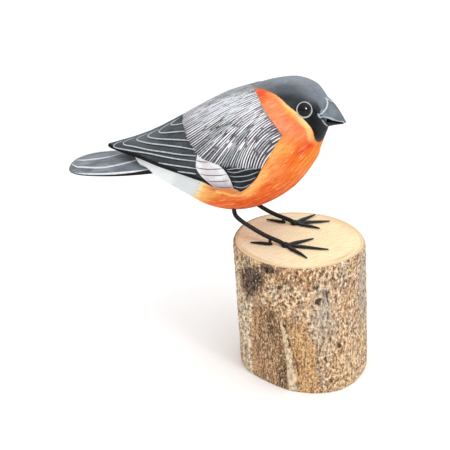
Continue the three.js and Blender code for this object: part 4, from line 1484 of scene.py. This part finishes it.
def in_shade(x, down):
    """How dark the mantle is at a place, from -1 where it is lit to 1 in the middle of a dark patch."""
    total = sum(
        depth * bell((x - middle_x) / wide, (down - middle_down) / high)
        for middle_x, middle_down, wide, high, depth in SHADED_PATCHES
    )
    return np.clip(total, -1, 1)


dice = np.random.default_rng(11)
comb = combed_lines(COMB_START, COMB_GAP)
mantle_strokes = []
for mirror in (1, -1):
    for line in comb:
        angle = combing(line)
        shadow = line + 0.5 * COMB_GAP * np.stack([np.sin(angle), np.cos(angle)], -1)
        shadow = shadow[depth_in(shadow, MANTLE_EDGE) > -0.3]
        passes = [(line, (7, 17), (0.5, 1.0), True), (shadow, (5, 11), (0.6, 3), False)]
        for long_line, lengths, gaps, is_pale in passes:
            for stroke in cut_up(dice, long_line, lengths, gaps):
                if len(stroke) < SHORTEST_STROKE:
                    continue
                middle = stroke[len(stroke) // 2]
                band, ridge, shade = pale_band(*middle), ridge_share(*middle), in_shade(*middle)
                if is_pale:
                    tone = dice.uniform(0.88, 1.02) - 0.35 * ridge - 0.25 * shade
                    weight = dice.uniform(0.8, 1.4) * (1 - 0.25 * ridge - 0.3 * shade - 0.25 * band)
                else:
                    paler = max(band, ridge)
                    tone = dice.uniform(0.04, 0.22) + 0.2 * paler
                    weight = dice.uniform(0.7, 1.15) * (1 - 0.35 * paler) * (1 + 0.35 * min(shade, 0))
                    if dice.random() < 0.75 * max(band, 0.7 * ridge):
                        continue
                mantle_strokes.append((on_side(wing_tape.lay(stroke[::2]), mirror), tone, weight))
paint_lines("combed_mantle_strokes", mantle_strokes, wings, "painted_wing", 0.62, 0.1, 0.6, 1.2)

# The setting
# A plain white floor, a soft white sky, a broad key light and a smaller lamp, as in a product
# photograph. A third light shines only on the beads, to give each its glint. The camera looks from
# the bird's right, a little from the front and from above.
CAMERA_TURN = math.radians(12)
CAMERA_RISE = math.radians(24.7)
CAMERA_DISTANCE = 600.0
SENSOR_WIDTH = 36
CAMERA_TARGET = np.array([-41.83, -5.79, 78.66])
MM_PER_PIXEL = 0.516
PHOTO_WIDTH = 450


def toward(turn, rise):
    """The direction from the object to a place round it, turned from its right side towards its front."""
    return np.array([math.sin(turn) * math.cos(rise), -math.cos(turn) * math.cos(rise), math.sin(rise)])


def aim(name, data, place):
    """Puts a camera or a light at a place in millimetres, and points it at the object."""
    made = put_in_scene(name, data)
    made.location = place * MM
    made.rotation_euler = Vector(CAMERA_TARGET - place).to_track_quat("-Z", "Y").to_euler()
    return made


camera_data = bpy.data.cameras.new("camera")
camera_data.sensor_width = SENSOR_WIDTH
camera_data.lens = SENSOR_WIDTH * CAMERA_DISTANCE / (MM_PER_PIXEL * PHOTO_WIDTH)
camera_place = CAMERA_TARGET + CAMERA_DISTANCE * toward(CAMERA_TURN, CAMERA_RISE)
bpy.context.scene.camera = aim("camera", camera_data, camera_place)


def studio_light(name, kind, turn, rise, strength, distance=800.0, **shape):
    data = bpy.data.lights.new(name, kind)
    data.energy = strength
    for key, value in shape.items():
        setattr(data, key, value)
    return aim(name, data, CAMERA_TARGET + distance * toward(math.radians(turn), math.radians(rise)))


studio_light("key_light", "SUN", 45, 55, 0.55, angle=math.radians(50))
studio_light("small_lamp", "AREA", 50, 38, 1.0, shape="DISK", size=170 * MM)
eye_light = studio_light("eye_light", "AREA", 50, 38, 12.0, 780.0, shape="DISK", size=270 * MM)
glints = bpy.data.collections.new("beads_in_the_glint")
for side in ("right", "left"):
    glints.objects.link(bpy.data.objects["bead_eye_" + side])
eye_light.light_linking.receiver_collection = glints

# The sky of white cloth is brighter overhead than near the floor
world = bpy.data.worlds.new("white_tent")
world.use_nodes = True
sky, cloth = world.node_tree, world.node_tree.nodes["Background"].inputs
overhead = along_axis(flow(sky, "ShaderNodeTexCoord", output="Generated"), "Z")
sky.links.new(fade(overhead, 0, 1, 0.5, 1.25).socket, cloth["Strength"])
cloth["Color"].default_value = (1, 1, 1, 1)
bpy.context.scene.world = world
bpy.context.scene.view_settings.view_transform = "Standard"


def floor_recipe(tree):
    return {"Base Color": mix(noise(place_in_mm(tree), 60, 2), "#fbfbfb", "#fefefe")}


FLOOR_REACH = 4000.0
floor_corners = [(x * FLOOR_REACH, y * FLOOR_REACH, 0) for x, y in ((-1, -1), (1, -1), (1, 1), (-1, 1))]
floor = new_object("floor", floor_corners, [[0, 1, 2, 3]])
white_card = new_material("white_floor", floor_recipe, Roughness=0.9, Specular_IOR_Level=0.1)
floor.data.materials.append(white_card)
